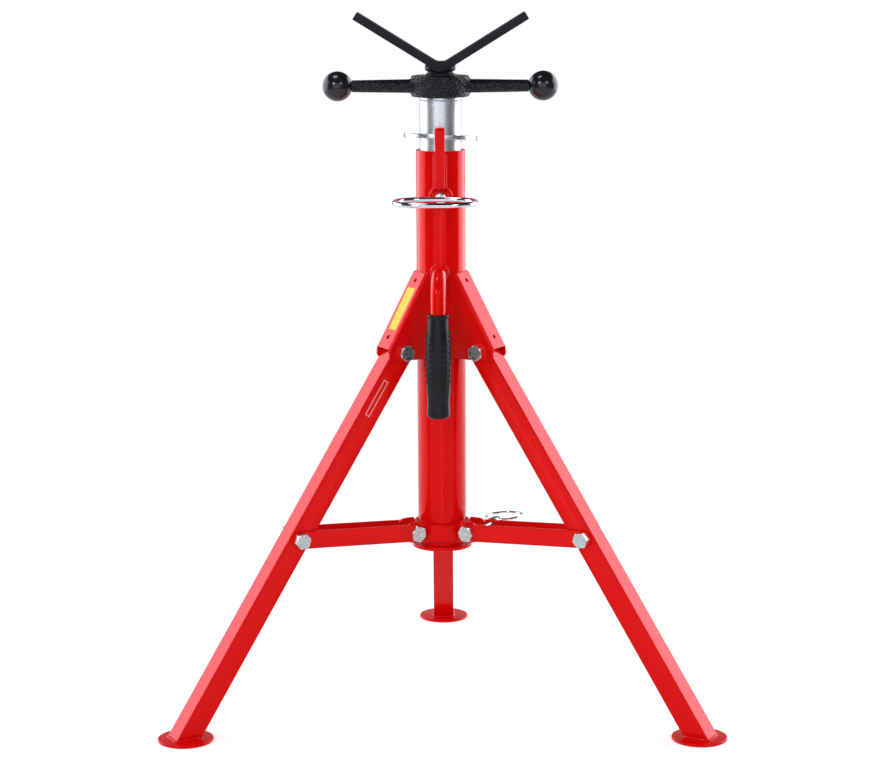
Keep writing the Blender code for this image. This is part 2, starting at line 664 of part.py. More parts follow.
def grip_profile() -> list:
    """Half outline of the rubber grip from the middle of its floor up to its mouth, and down the bore."""
    height = GRIP_TOP - GRIP_BOTTOM
    middle_share = (GRIP_MIDDLE_HEIGHT - GRIP_BOTTOM) / height
    centre = (GRIP_BOTTOM_DIAMETER / 2 - GRIP_EDGE, GRIP_BOTTOM + GRIP_EDGE)
    profile = [(0, GRIP_BOTTOM)] + arc(centre, GRIP_EDGE, -90, 0, QUARTER_STEPS)
    for share in GRIP_PROFILE_SHARES[1:-1]:
        if share < middle_share:
            blend, low, high = share / middle_share, GRIP_BOTTOM_DIAMETER, GRIP_MIDDLE_DIAMETER
        else:
            blend = (share - middle_share) / (1 - middle_share)
            low, high = GRIP_MIDDLE_DIAMETER, GRIP_TOP_DIAMETER
        smooth = (1 - math.cos(math.pi * blend)) / 2
        profile.append(((low + (high - low) * smooth) / 2, GRIP_BOTTOM + height * share))
    rim = (GRIP_TOP_DIAMETER / 2 - GRIP_EDGE / 2, GRIP_TOP - GRIP_EDGE / 2)
    profile += arc(rim, GRIP_EDGE / 2, 0, 90, QUARTER_STEPS // 2)
    profile += [(GRIP_BORE / 2, GRIP_TOP), (GRIP_BORE / 2, GRIP_BOTTOM + GRIP_FLOOR)]
    profile.append((0, GRIP_BOTTOM + GRIP_FLOOR))
    return profile


def make_carry_handle(materials: dict, mast: bpy.types.Object) -> None:
    """The bent rod and its grip."""
    holder = frame("carry_handle_plane", mast, Vector(), Matrix.Rotation(math.radians(HANDLE_AZIMUTH), 4, "Z"))
    rod = swept("carry_handle_rod", handle_path(), HANDLE_ROD_DIAMETER / 2, ROD_SIDES)
    cut(rod, cylinder("tube", WELD_RADIUS, 0, OUTER_TUBE_TOP, TUBE_SIDES))
    finish(rod, materials["red_paint"], holder)
    grip = turned("carry_handle_grip", grip_profile(), BALL_SIDES)
    shift(grip, Matrix.Translation((HANDLE_REACH, 0, 0)))
    finish(grip, materials["rubber"], holder)


# Bolts and nuts, each with its origin where the face of its head or nut meets the wall.


def make_bolt(materials: dict) -> bpy.types.Object:
    """A hex bolt through a channel: its head on +Z, its shank down through both walls and the nut."""
    length = BRACKET_WIDTH + 2 * SEAT_GAP + NUT_HEIGHT + BOLT_TAIL
    bolt = hex_block("bolt", BOLT_FLATS, 0, BOLT_HEAD_HEIGHT, False)
    radius = BOLT_DIAMETER / 2
    tip = radius - HEX_CHAMFER
    shank = [(0, -length), (tip, -length), (radius, -length + HEX_CHAMFER)]
    shank += [(radius, BOLT_HEAD_HEIGHT / 2), (0, BOLT_HEAD_HEIGHT / 2)]
    join(bolt, turned("shank", shank, BOLT_SIDES))
    bolt.data.materials.append(materials["zinc"])
    return bolt


def make_nut(materials: dict) -> bpy.types.Object:
    """A hex nut that lies on -Z, its face at the origin."""
    nut = hex_block("nut", BOLT_FLATS, -NUT_HEIGHT, 0, True)
    cut(nut, cylinder("bore", BOLT_DIAMETER / 2 + HOLE_GAP, -NUT_HEIGHT * 2, NUT_HEIGHT, BOLT_SIDES))
    nut.data.materials.append(materials["zinc"])
    return nut


def place_bolt(bolt, nut, names: tuple[str, str], parent, place: Vector, side: float, turn: float) -> None:
    """Puts a bolt's head on one side of a channel and its nut on the other."""
    to_side = Matrix.Rotation(math.radians(-90 * side), 4, "X") @ Matrix.Rotation(math.radians(turn), 4, "Z")
    face = BRACKET_WIDTH / 2 + SEAT_GAP
    for piece, name, offset in ((bolt, names[0], face * side), (nut, names[1], -face * side)):
        copy = copy_of(piece, name, parent)
        copy.matrix_local = Matrix.Translation(place + Vector((0, offset, 0))) @ to_side


# Collar, braces and legs.


def ear_outline() -> list:
    """Side view of an ear, (radius, height above the pivot): round nose, flat bottom level with the ring."""
    low = -COLLAR_BELOW_PIVOT
    end = math.degrees(math.asin(low / EAR_RADIUS))
    points = arc((COLLAR_PIVOT_RADIUS, 0), EAR_RADIUS, 90, end, 3 * QUARTER_STEPS)
    root = (COLLAR_DIAMETER / 2 + OUTER_RADIUS) / 2 + COLLAR_PLAY
    points += [(root, low), (root, COLLAR_HEIGHT - COLLAR_BELOW_PIVOT)]
    points.append((COLLAR_DIAMETER / 2, EAR_RADIUS))
    return points


def make_collar(materials: dict, collar_frame: bpy.types.Object) -> None:
    """The ring that slides on the outer tube, with two ears for each brace. Its frame is at pivot height."""
    bore = OUTER_RADIUS + COLLAR_PLAY
    rim = COLLAR_DIAMETER / 2
    low, high = -COLLAR_BELOW_PIVOT, COLLAR_HEIGHT - COLLAR_BELOW_PIVOT
    ring = [(bore, low), (rim - COLLAR_CHAMFER, low), (rim, low + COLLAR_CHAMFER)]
    ring += [(rim, high - COLLAR_CHAMFER), (rim - COLLAR_CHAMFER, high), (bore, high)]
    collar = turned("sliding_collar", ring, TUBE_SIDES, closed=True)
    outer_face = CLEAR_WIDTH / 2 - SEAT_GAP
    drill_radius = BOLT_DIAMETER / 2 + HOLE_GAP
    for azimuth in LEG_AZIMUTHS.values():
        turn = Matrix.Rotation(math.radians(azimuth), 4, "Z")
        for side in (-1, 1):
            faces = sorted((side * outer_face, side * (outer_face - EAR_THICKNESS)))
            join(collar, shift(prism("ear", ear_outline(), faces[0], faces[1], "Y"), turn))
        drill = cylinder("drill", drill_radius, -BRACKET_WIDTH, BRACKET_WIDTH, BOLT_SIDES, "Y")
        cut(collar, shift(drill, turn @ Matrix.Translation((COLLAR_PIVOT_RADIUS, 0, 0))))
    finish(collar, materials["red_paint"], collar_frame)


def drift_outline() -> list:
    """The room that the brace bolt needs in the brace's walls, round its whole path in the fold."""
    room = BOLT_DIAMETER / 2 + 2 * HOLE_GAP
    points = []
    steps = 6 * QUARTER_STEPS
    for step in range(steps + 1):
        points += circle(tuple(open_pivot_drift(step / steps)), room, BOLT_SIDES)
    return hull(points)


def make_brace(materials: dict, with_pin_hole: bool) -> bpy.types.Object:
    """One channel, lying along +X from its collar bolt: two round-ended walls and a web below."""
    half = BRACE_WIDTH / 2
    end = BRACE_DEPTH / 2
    past = end + CUT_OVERRUN
    outline = arc((0, 0), end, 90, 270, 4 * QUARTER_STEPS) + [(0, -past), (BRACE_LENGTH, -past)]
    outline += arc((BRACE_LENGTH, 0), end, -90, 90, 4 * QUARTER_STEPS)
    brace = prism("brace", outline, -past - half, past + half, "Y")
    fold = half - BRACE_EDGE_RADIUS
    section = [(half, past)] + arc((fold, BRACE_EDGE_RADIUS - end), BRACE_EDGE_RADIUS, 0, -90, QUARTER_STEPS)
    section += arc((-fold, BRACE_EDGE_RADIUS - end), BRACE_EDGE_RADIUS, -90, -180, QUARTER_STEPS)
    section.append((-half, past))
    keep(brace, prism("section", section, -past, BRACE_LENGTH + past, "X"))
    top_of_web = -end + BRACE_SHEET
    channel = [(-past, -past), (BRACE_WEB_START, -past), (BRACE_WEB_START, top_of_web)]
    web_end = BRACE_LENGTH - BRACE_WEB_FREE_END
    channel += [(web_end, top_of_web), (web_end, -past)]
    channel += [(BRACE_LENGTH + past, -past), (BRACE_LENGTH + past, past), (-past, past)]
    cut(brace, prism("channel", channel, -CLEAR_WIDTH / 2, CLEAR_WIDTH / 2, "Y"))
    cut(brace, cylinder("drill", BOLT_DIAMETER / 2 + HOLE_GAP, -BRACE_WIDTH, BRACE_WIDTH, BOLT_SIDES, "Y"))
    cut(brace, prism("drift", drift_outline(), -BRACE_WIDTH, BRACE_WIDTH, "Y"))
    if with_pin_hole:
        drill = cylinder("drill", PIN_DIAMETER / 2 + HOLE_GAP, 0, BRACE_WIDTH, BOLT_SIDES, "Y")
        cut(brace, shift(drill, Matrix.Translation((PIN_ALONG_BRACE, 0, PIN_ABOVE_MIDDLE))))
    brace.data.materials.append(materials["red_paint"])
    return brace


def make_leg(materials: dict) -> bpy.types.Object:
    """One square tube in its spread pose, its origin on the pivot: round at the top, cut level at the foot."""
    half = LEG_SIDE / 2
    down = Vector((math.sin(math.radians(LEG_ANGLE)), -math.cos(math.radians(LEG_ANGLE))))
    across = Vector((-down.y, down.x))
    cut_height = FOOT_THICKNESS + SEAT_GAP - LEG_PIVOT_HEIGHT
    outline = arc((0, 0), half, LEG_ANGLE, LEG_ANGLE + 180, 4 * QUARTER_STEPS)
    rear, front = across * (-half - CUT_OVERRUN), across * (half + CUT_OVERRUN)
    for start in (rear, front):
        outline.append(tuple(start + down * ((cut_height - start.y) / down.y)))
    outline.insert(-2, tuple(rear))
    outline.append(tuple(front))
    length = LEG_LENGTH_TO_FLOOR + LEG_SIDE
    lean = Matrix.Rotation(-math.radians(LEG_ANGLE), 4, "Y")
    leg = shift(prism("leg", rounded_square(half, LEG_CORNER), -length, LEG_SIDE, "Z"), lean)
    keep(leg, prism("side_view", outline, -LEG_SIDE, LEG_SIDE, "Y"))
    bore = rounded_square(half - LEG_WALL, LEG_CORNER - LEG_WALL)
    cut(leg, shift(prism("bore", bore, -length, LEG_SIDE, "Z"), lean))
    for distance in (0, BRACE_PIVOT_ALONG_LEG):
        place = down * distance
        drill = cylinder("drill", BOLT_DIAMETER / 2 + HOLE_GAP, -LEG_SIDE, LEG_SIDE, BOLT_SIDES, "Y")
        cut(leg, shift(drill, Matrix.Translation((place.x, 0, place.y))))
    leg.data.materials.append(materials["red_paint"])
    return leg


def make_foot(materials: dict) -> bpy.types.Object:
    """The disc under a leg, its origin in the middle of its underside."""
    rim = FOOT_DIAMETER / 2
    profile = [(0, 0), (rim - FOOT_CHAMFER, 0), (rim, FOOT_CHAMFER), (rim, FOOT_THICKNESS - FOOT_CHAMFER)]
    profile += [(rim - FOOT_CHAMFER, FOOT_THICKNESS), (0, FOOT_THICKNESS)]
    foot = turned("foot", profile, TUBE_SIDES)
    foot.data.materials.append(materials["red_paint"])
    return foot


def make_lock_pin(materials: dict, brace_frame: bpy.types.Object) -> None:
    """The pin through the far wall of a brace, with its ring lying level in the head's cross hole."""
    holder = frame("lock_pin_axis", brace_frame, Vector((PIN_ALONG_BRACE, 0, PIN_ABOVE_MIDDLE)))
    wall = BRACE_WIDTH / 2
    tip = SEAT_GAP * 2 - CLEAR_WIDTH / 2
    radius = PIN_DIAMETER / 2
    head = PIN_HEAD_DIAMETER / 2
    under = wall + SEAT_GAP
    over = under + PIN_HEAD_LENGTH
    profile = [(0, tip), (radius - PIN_TIP_CHAMFER, tip), (radius, tip + PIN_TIP_CHAMFER), (radius, under)]
    profile += [(head, under), (head, over - PIN_TIP_CHAMFER), (head - PIN_TIP_CHAMFER, over), (0, over)]
    pin = shift(turned("lock_pin", profile, BALL_SIDES), Matrix.Rotation(math.radians(-90), 4, "X"))
    ring_radius = PIN_RING_DIAMETER / 2
    sag = ring_radius - math.sqrt(ring_radius**2 - head**2)
    hole = PIN_RING_WIRE / 2 + sag + HOLE_GAP
    eye = Vector((0, under + PIN_EYE_HEIGHT, PIN_RING_RISE))
    cross = cylinder("cross", hole, -PIN_HEAD_DIAMETER, PIN_HEAD_DIAMETER, BOLT_SIDES, "X")
    cut(pin, shift(cross, Matrix.Translation(eye)))
    finish(pin, materials["zinc"], holder)

    middle = frame("lock_pin_ring_axis", holder, eye)
    path = [Vector((x, y, 0)) for x, y in circle((0, ring_radius - sag / 2), ring_radius, 2 * BALL_SIDES)]
    ring = swept("lock_pin_ring", path, PIN_RING_WIRE / 2, BOLT_SIDES // 2, closed=True)
    finish(ring, materials["chrome"], middle)


def make_folding_base(materials: dict, mast: bpy.types.Object) -> None:
    """Brackets, collar, braces and legs, each in the frame of the joint that moves it."""
    collar_frame = frame("collar_joint", mast, Vector((0, 0, COLLAR_PIVOT_HEIGHT)))
    make_collar(materials, collar_frame)
    masters = {
        "bracket": make_bracket(materials),
        "bolt": make_bolt(materials),
        "nut": make_nut(materials),
        "brace": make_brace(materials, False),
        "drilled_brace": make_brace(materials, True),
        "leg": make_leg(materials),
        "foot": make_foot(materials),
    }
    bolt, nut = masters["bolt"], masters["nut"]
    slope = Matrix.Rotation(-math.radians(BRACE_ANGLE), 4, "Y")
    down = on_leg(LEG_ANGLE, BRACE_PIVOT_ALONG_LEG) - Vector((LEG_PIVOT_RADIUS, LEG_PIVOT_HEIGHT))
    for name, azimuth in LEG_AZIMUTHS.items():
        side = HEAD_SIDES[name]
        turn = Matrix.Rotation(math.radians(azimuth), 4, "Z")
        plane = frame(f"plane_{name}", mast, Vector(), turn)
        bracket = copy_of(masters["bracket"], f"leg_bracket_{name}", plane)
        finish(bracket, materials["red_paint"], plane)
        pivot = Vector((LEG_PIVOT_RADIUS, 0, LEG_PIVOT_HEIGHT))
        place_bolt(bolt, nut, (f"pivot_bolt_{name}", f"pivot_nut_{name}"), plane, pivot, side, 0)

        collar_plane = frame(f"collar_plane_{name}", collar_frame, Vector(), turn)
        inner = Vector((COLLAR_PIVOT_RADIUS, 0, 0))
        place_bolt(bolt, nut, (f"collar_bolt_{name}", f"collar_nut_{name}"), collar_plane, inner, side, 20)
        brace_frame = frame(f"brace_joint_{name}", collar_plane, inner, slope)
        brace = masters["drilled_brace"] if name == "right" else masters["brace"]
        finish(copy_of(brace, f"brace_{name}", brace_frame), materials["red_paint"], brace_frame)

        leg_frame = frame(f"leg_joint_{name}", plane, pivot)
        finish(copy_of(masters["leg"], f"leg_{name}", leg_frame), materials["red_paint"], leg_frame)
        foot = copy_of(masters["foot"], f"foot_{name}", leg_frame)
        finish(foot, materials["red_paint"], leg_frame)
        foot.location = (FOOT_RADIUS - LEG_PIVOT_RADIUS, 0, -LEG_PIVOT_HEIGHT)
        outer = Vector((down.x, 0, down.y))
        place_bolt(bolt, nut, (f"brace_bolt_{name}", f"brace_nut_{name}"), leg_frame, outer, side, 10)
        if name == "right":
            make_lock_pin(materials, brace_frame)
    for master in masters.values():
        bpy.data.objects.remove(master)


# Mast: inner tube, bush, T-handle nut, screw and V head.


def make_inner_tube(materials: dict, mast: bpy.types.Object) -> None:
    """The sliding tube and the bush in its top end."""
    bore = INNER_RADIUS - INNER_TUBE_WALL
    wall = [(bore, INNER_TUBE_BOTTOM), (INNER_RADIUS, INNER_TUBE_BOTTOM)]
    wall += [(INNER_RADIUS, INNER_TUBE_TOP), (bore, INNER_TUBE_TOP)]
    finish(turned("inner_tube", wall, TUBE_SIDES, closed=True), materials["zinc"], mast)

    hole = SCREW_DIAMETER / 2 + 2 * HOLE_GAP
    seat = INNER_TUBE_TOP + SEAT_GAP
    plug = bore - SEAT_GAP
    bush = [(hole, seat - BUSH_DEPTH), (plug, seat - BUSH_DEPTH), (plug, seat), (INNER_RADIUS, seat)]
    bush += [(INNER_RADIUS, BUSH_TOP), (hole, BUSH_TOP)]
    finish(turned("thrust_bush", bush, TUBE_SIDES, closed=True), materials["zinc"], mast)


def arm_section(size: float, x: float) -> list:
    """The eight corners of an arm's section at a distance from the mast axis."""
    corner = size / 2
    short = corner * math.tan(math.radians(22.5))
    pairs = [(corner, short), (short, corner), (-short, corner), (-corner, short)]
    pairs += [(-corner, -short), (-short, -corner), (short, -corner), (corner, -short)]
    return [(x, y, ARM_HEIGHT + z) for y, z in pairs]


def make_t_handle(materials: dict, handle_frame: bpy.types.Object) -> None:
    """The cast hub with its two tapered arms, bored for the screw, and a ball on each arm."""
    rim = HUB_DIAMETER / 2
    profile = [(0, HUB_BOTTOM), (rim - HUB_CHAMFER, HUB_BOTTOM), (rim, HUB_BOTTOM + HUB_CHAMFER)]
    profile += [(rim, HUB_TOP - HUB_CHAMFER), (rim - HUB_CHAMFER, HUB_TOP), (0, HUB_TOP)]
    hub = turned("t_handle_hub", profile, TUBE_SIDES)
    ball = BALL_DIAMETER / 2
    mouth = BALL_MOUTH_DIAMETER / 2
    mouth_depth = math.sqrt(ball**2 - mouth**2)
    arm_end = BALL_SPACING / 2 - mouth_depth - SEAT_GAP
    build = bmesh.new()
    sections = []
    for x, size in ((-arm_end, ARM_TIP_SIZE), (0, ARM_ROOT_SIZE), (arm_end, ARM_TIP_SIZE)):
        sections.append([build.verts.new(point) for point in arm_section(size, x)])
    build.faces.new(sections[0])
    build.faces.new(sections[-1][::-1])
    for first, second in zip(sections, sections[1:]):
        for index in range(len(first)):
            after = (index + 1) % len(first)
            build.faces.new((first[index], second[index], second[after], first[after]))
    join(hub, add_mesh("arms", build))
    spigot_end = arm_end + ARM_SPIGOT_LENGTH
    spigot = cylinder("spigot", ARM_SPIGOT_DIAMETER / 2, -spigot_end, spigot_end, BOLT_SIDES, "X")
    join(hub, shift(spigot, Matrix.Translation((0, 0, ARM_HEIGHT))))
    bore = SCREW_DIAMETER / 2 + HOLE_GAP
    cut(hub, cylinder("bore", bore, HUB_BOTTOM - CUT_OVERRUN, HUB_TOP + CUT_OVERRUN, TUBE_SIDES))
    finish(hub, materials["hammered_black"], handle_frame)

    hole = ARM_SPIGOT_DIAMETER / 2 + HOLE_GAP
    depth = mouth_depth - ARM_SPIGOT_LENGTH - 2 * SEAT_GAP
    start = math.degrees(math.asin(mouth_depth / ball))
    profile = [(0, depth), (hole, depth), (hole, mouth_depth)]
    profile += arc((0, 0), ball, start, -90, 3 * QUARTER_STEPS)[:-1] + [(0, -ball)]
    for name, side in (("left", -1), ("right", 1)):
        turn = Matrix.Rotation(math.radians(-90 * side), 4, "Y")
        knob = shift(turned(f"handle_ball_{name}", profile, BALL_SIDES), turn)
        finish(knob, materials["gloss_black"], handle_frame)
        knob.location = (side * BALL_SPACING / 2, 0, ARM_HEIGHT)


def make_screw(materials: dict, screw_frame: bpy.types.Object) -> None:
    """The lift screw: a round bar, bored at the top for the V head's stem."""
    radius = SCREW_DIAMETER / 2
    bottom = SCREW_TOP - SCREW_LENGTH
    bore = SCREW_BORE_DIAMETER / 2
    floor = SCREW_TOP - SCREW_BORE_DEPTH
    profile = [(0, bottom), (radius - SCREW_TIP_CHAMFER, bottom), (radius, bottom + SCREW_TIP_CHAMFER)]
    profile += [(radius, SCREW_TOP), (bore, SCREW_TOP), (bore, floor), (0, floor)]
    finish(turned("lift_screw", profile, BALL_SIDES), materials["zinc"], screw_frame)


def v_outline(grow: float) -> list:
    """Front view of the bent bar, (x, height), made fatter all round by this much."""
    turn = math.radians(V_ARM_ANGLE)
    centre = (0, V_SEAT_HEIGHT + V_BEND_RADIUS)
    along = Vector((math.cos(turn), math.sin(turn)))
    across = Vector((math.sin(turn), -math.cos(turn)))
    tangent = Vector((0, centre[1])) + across * V_BEND_RADIUS
    tip = tangent + along * ((V_HALF_SPAN - tangent.x) / along.x)
    inner, outer = V_BEND_RADIUS - grow, V_BEND_RADIUS + V_BAR_THICKNESS + grow
    steps = 2 * QUARTER_STEPS
    top_right = tip - across * grow + along * grow
    low_right = tip + across * (V_BAR_THICKNESS + grow) + along * grow
    points = [(top_right.x, top_right.y), (low_right.x, low_right.y)]
    points += arc(centre, outer, -90 + V_ARM_ANGLE, -90 - V_ARM_ANGLE, steps)
    points += [(-low_right.x, low_right.y), (-top_right.x, top_right.y)]
    return points + arc(centre, inner, -90 - V_ARM_ANGLE, -90 + V_ARM_ANGLE, steps)


def make_v_head(materials: dict, head_frame: bpy.types.Object) -> None:
    """The V cradle, and the socket with its stem welded under the bend."""
    half = V_BAR_WIDTH / 2
    cradle = prism("v_cradle", v_outline(0), -half, half, "Y")

    def any_edge(a: Vector, b: Vector) -> bool:
        return abs(a.y - b.y) < SEAT_GAP

    round_edges(cradle, V_EDGE, 1, any_edge)
    finish(cradle, materials["satin_black"], head_frame)

    base, neck = SOCKET_BASE_DIAMETER / 2, SOCKET_NECK_DIAMETER / 2
    bead = SOCKET_BEAD_DIAMETER / 2
    bead_round = bead - neck
    waist = SOCKET_BOTTOM + SOCKET_BASE_HEIGHT
    stem = STEM_DIAMETER / 2
    stem_end = SOCKET_BOTTOM - STEM_LENGTH
    profile = [(0, stem_end), (stem, stem_end), (stem, SOCKET_BOTTOM), (base, SOCKET_BOTTOM)]
    profile += [(base, waist - SOCKET_BASE_HEIGHT / 2), (neck, waist)]
    profile += arc((neck, SOCKET_BEAD_HEIGHT), bead_round, -60, 60, QUARTER_STEPS)
    above = V_SEAT_HEIGHT + V_BAR_THICKNESS
    profile += [(neck, above), (0, above)]
    socket = turned("v_socket", profile, TUBE_SIDES)
    cut(socket, prism("bar", v_outline(SEAT_GAP), -V_BAR_WIDTH, V_BAR_WIDTH, "Y"))
    build = bmesh.new()
    build.from_mesh(socket.data)
    upper = [vert for vert in build.verts if vert.co.z > V_SEAT_HEIGHT]
    bmesh.ops.delete(build, geom=upper, context="VERTS")
    build.to_mesh(socket.data)
    build.free()
    finish(socket, materials["satin_black"], head_frame)


# Lock plate and clamp.


def make_lock_plate(materials: dict, mast: bpy.types.Object) -> None:
    """The plate that grips the inner tube, tilted about its front edge in the lock bar's slot."""
    turn = math.radians(LOCK_TILT_AXIS_TURN)
    axis = Vector((math.cos(turn), math.sin(turn), 0))
    tilt = Matrix.Rotation(-math.radians(LOCK_PLATE_TILT), 4, axis)
    pivot = frame("lock_plate_joint", mast, Vector((0, -LOCK_PIVOT_RADIUS, LOCK_PIVOT_HEIGHT)), tilt)
    half = LOCK_PLATE_THICKNESS / 2
    rim = LOCK_PLATE_DIAMETER / 2
    hole = INNER_RADIUS + LOCK_PLATE_PLAY
    profile = [(hole, -half), (rim - LOCK_PLATE_CHAMFER, -half), (rim, LOCK_PLATE_CHAMFER - half)]
    profile += [(rim, half - LOCK_PLATE_CHAMFER), (rim - LOCK_PLATE_CHAMFER, half), (hole, half)]
    plate = turned("lock_plate", profile, TUBE_SIDES, closed=True)
    finish(shift(plate, Matrix.Translation((0, LOCK_PIVOT_RADIUS, 0))), materials["zinc"], pivot)


def ring_path() -> list:
    """The clamp ring's middle line: an oval with flattened sides, seen from above."""
    half_width = (CLAMP_RING_WIDTH - CLAMP_RING_WIRE) / 2
    half_depth = (CLAMP_RING_DEPTH - CLAMP_RING_WIRE) / 2
    middle = -(CLAMP_SCREW_REACH + SEAT_GAP + CLAMP_RING_WIRE / 2 + half_depth)
    power = 1 - RING_SQUARENESS_SHARE / 2
    points = []
    steps = 8 * QUARTER_STEPS
    for step in range(steps):
        turn = 2 * math.pi * step / steps
        across, along = math.cos(turn), math.sin(turn)
        x = math.copysign(abs(across) ** power, across) * half_width
        y = math.copysign(abs(along) ** power, along) * half_depth
        points.append(Vector((CLAMP_RING_OFFSET + x, middle + y, 0)))
    return points


def make_clamp(materials: dict, mast: bpy.types.Object) -> None:
    """The clamp screw, which bears on the inner tube, and the ring welded to its outer end."""
    axis = frame("clamp_screw_joint", mast, Vector((0, 0, CLAMP_HEIGHT)))
    radius = CLAMP_SCREW_DIAMETER / 2
    tip = radius - HEX_CHAMFER
    start = INNER_RADIUS + SEAT_GAP
    profile = [(0, start), (tip, start), (radius, start + HEX_CHAMFER), (radius, CLAMP_SCREW_REACH)]
    profile.append((0, CLAMP_SCREW_REACH))
    screw = turned("clamp_screw", profile, BOLT_SIDES)
    finish(shift(screw, Matrix.Rotation(math.radians(90), 4, "X")), materials["zinc"], axis)
    ring = swept("clamp_ring", ring_path(), CLAMP_RING_WIRE / 2, BOLT_SIDES // 2 + 2, closed=True)
    finish(ring, materials["chrome"], axis)


def print_motion(mast: bpy.types.Object) -> None:
    """Prints the joints' places, ranges and ratios that follow from the sizes."""
    print("mast axis at y =", round(MAST_OFFSET, 6))
    print("collar travel", round(COLLAR_TRAVEL, 6))
    print("leg fold", round(LEG_ANGLE - FOLDED_LEG_ANGLE, 5), "brace fold", round(BRACE_ANGLE - FOLDED_BRACE_ANGLE, 5))
    for empty in bpy.data.objects:
        if empty.type == "EMPTY" and "plane" not in empty.name:
            print(empty.name, [round(value, 6) for value in empty.matrix_world.translation])


def main() -> None:
    """Clears the scene and builds the stand."""
    for obj in list(bpy.data.objects):
        bpy.data.objects.remove(obj)
    materials = make_materials()
    mast = frame("mast_axis", None, Vector((0, MAST_OFFSET, 0)))
    make_outer_tube(materials, mast)
    make_lock_bar(materials, mast)
    make_clamp_nut(materials, mast)
    make_carry_handle(materials, mast)
    make_folding_base(materials, mast)
    slide = frame("mast_slide_axis", mast, Vector())
    make_inner_tube(materials, slide)
    make_t_handle(materials, frame("t_handle_axis", slide, Vector()))
    screw_frame = frame("screw_axis", slide, Vector())
    make_screw(materials, screw_frame)
    make_v_head(materials, frame("v_head_axis", screw_frame, Vector()))
    make_lock_plate(materials, mast)
    make_clamp(materials, mast)
    bpy.context.view_layer.update()
    print_motion(mast)


if __name__ == "__main__":
    main()
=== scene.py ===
"""Dressed model of a folding tripod stand with a V head for pipe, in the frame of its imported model.

Metres, +Z up. The mast stands a little towards -Y from the origin, one leg points to the rear (+Y)
and two to the front. Each class below makes one sub-assembly of the stand and dresses it.
"""

from __future__ import annotations

import logging
import math
from collections.abc import Iterator
from contextlib import contextmanager
from dataclasses import dataclass, field
from enum import Enum

import bmesh
import bpy
from bpy.types import Material, Node, NodeSocket, NodeTree, Object
from mathutils import Matrix, Vector


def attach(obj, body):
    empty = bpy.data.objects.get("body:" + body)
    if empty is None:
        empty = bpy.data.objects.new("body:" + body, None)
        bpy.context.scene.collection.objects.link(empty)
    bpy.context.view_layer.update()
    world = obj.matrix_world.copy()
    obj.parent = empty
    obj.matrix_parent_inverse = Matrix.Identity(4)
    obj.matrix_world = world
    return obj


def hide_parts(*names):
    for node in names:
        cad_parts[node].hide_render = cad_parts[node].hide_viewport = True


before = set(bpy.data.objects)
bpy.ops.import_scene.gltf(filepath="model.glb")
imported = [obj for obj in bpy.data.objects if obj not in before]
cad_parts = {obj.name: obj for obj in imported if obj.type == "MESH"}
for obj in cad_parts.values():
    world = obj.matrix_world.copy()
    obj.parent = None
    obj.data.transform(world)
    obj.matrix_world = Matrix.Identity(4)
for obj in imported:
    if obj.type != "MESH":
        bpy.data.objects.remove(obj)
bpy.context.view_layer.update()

log = logging.getLogger("pipe_stand")

Pair = tuple[float, float]
Triple = tuple[float, float, float]

MAST_Y = -0.084566
TUBE_RADIUS = 0.0285
INNER_RADIUS = 0.02415
SEAT_GAP = 0.0003
HOLE_GAP = 0.0003
LEG_SIDE = 0.0254
LEG_ANGLE = 33.8
LEG_PIVOT = (0.05705, 0.4253)
COLLAR_PIVOT = (0.04357, 0.2081)
BRACE_RISE = 0.0108
CLEAR_WIDTH = 0.0264
CHANNEL_WIDTH = 0.0324
BOLT_RADIUS = 0.005
BRACE_DROP = LEG_PIVOT[1] - COLLAR_PIVOT[1] - BRACE_RISE
BRACE_END = (LEG_PIVOT[0] + BRACE_DROP * math.tan(math.radians(LEG_ANGLE)), LEG_PIVOT[1] - BRACE_DROP)
AZIMUTHS = {"rear": 90.0, "left": 210.0, "right": 330.0}
HEAD_SIDES = {"rear": 1.0, "left": 1.0, "right": -1.0}

# Most of a side that one rounded corner takes, and a length that counts as none.
LONGEST_CORNER = 0.48
NEAR_ZERO = 1e-6

# How far cutting tools run past a face, past a wall, and through a channel.
OVERRUN = 0.001
PAST_WALL = 0.01
THROUGH = 0.03

# Steps round a circle, from wide tubes to small holes.
FINEST = 144
FINE = 128
ROUND = 96
SMALL = 72
HOLE = 40

# Edge rounding of folded sheet, and the least angle of an edge that gets it.
SHEET_EDGE = 0.00045
SHARP = 50.0

# The range that most of a noise lies in.
MIDDLE = (0.3, 0.7)
WHITE = (1.0, 1.0, 1.0, 1.0)


class Axis(Enum):
    """The axis that an outline is pushed along."""

    X = "x"
    Y = "y"
    Z = "z"


class Slot(Enum):
    """Names of material slots."""

    RED = "red_paint"
    ZINC = "zinc"
    CHROME = "chrome"
    HAMMERED = "hammered_black"
    SATIN = "satin_black"
    GLOSS = "gloss_black"
    RUBBER = "rubber"


# Outlines, as lists of pairs.


def arc(centre: Pair, radius: float, start: float, end: float, steps: int) -> list:
    """Makes a circular arc.

    Args:
        centre: middle of the circle.
        radius: its radius.
        start: first angle, in degrees.
        end: last angle, in degrees.
        steps: number of chords.

    Returns:
        The points, both ends included.
    """
    points = []
    for step in range(steps + 1):
        turn = math.radians(start + (end - start) * step / steps)
        points.append((centre[0] + radius * math.cos(turn), centre[1] + radius * math.sin(turn)))
    return points


def circle(radius: float, sides: int, centre: Pair = (0.0, 0.0)) -> list:
    """Makes the points of a full circle."""
    return arc(centre, radius, 0, 360 - 360 / sides, sides - 1)


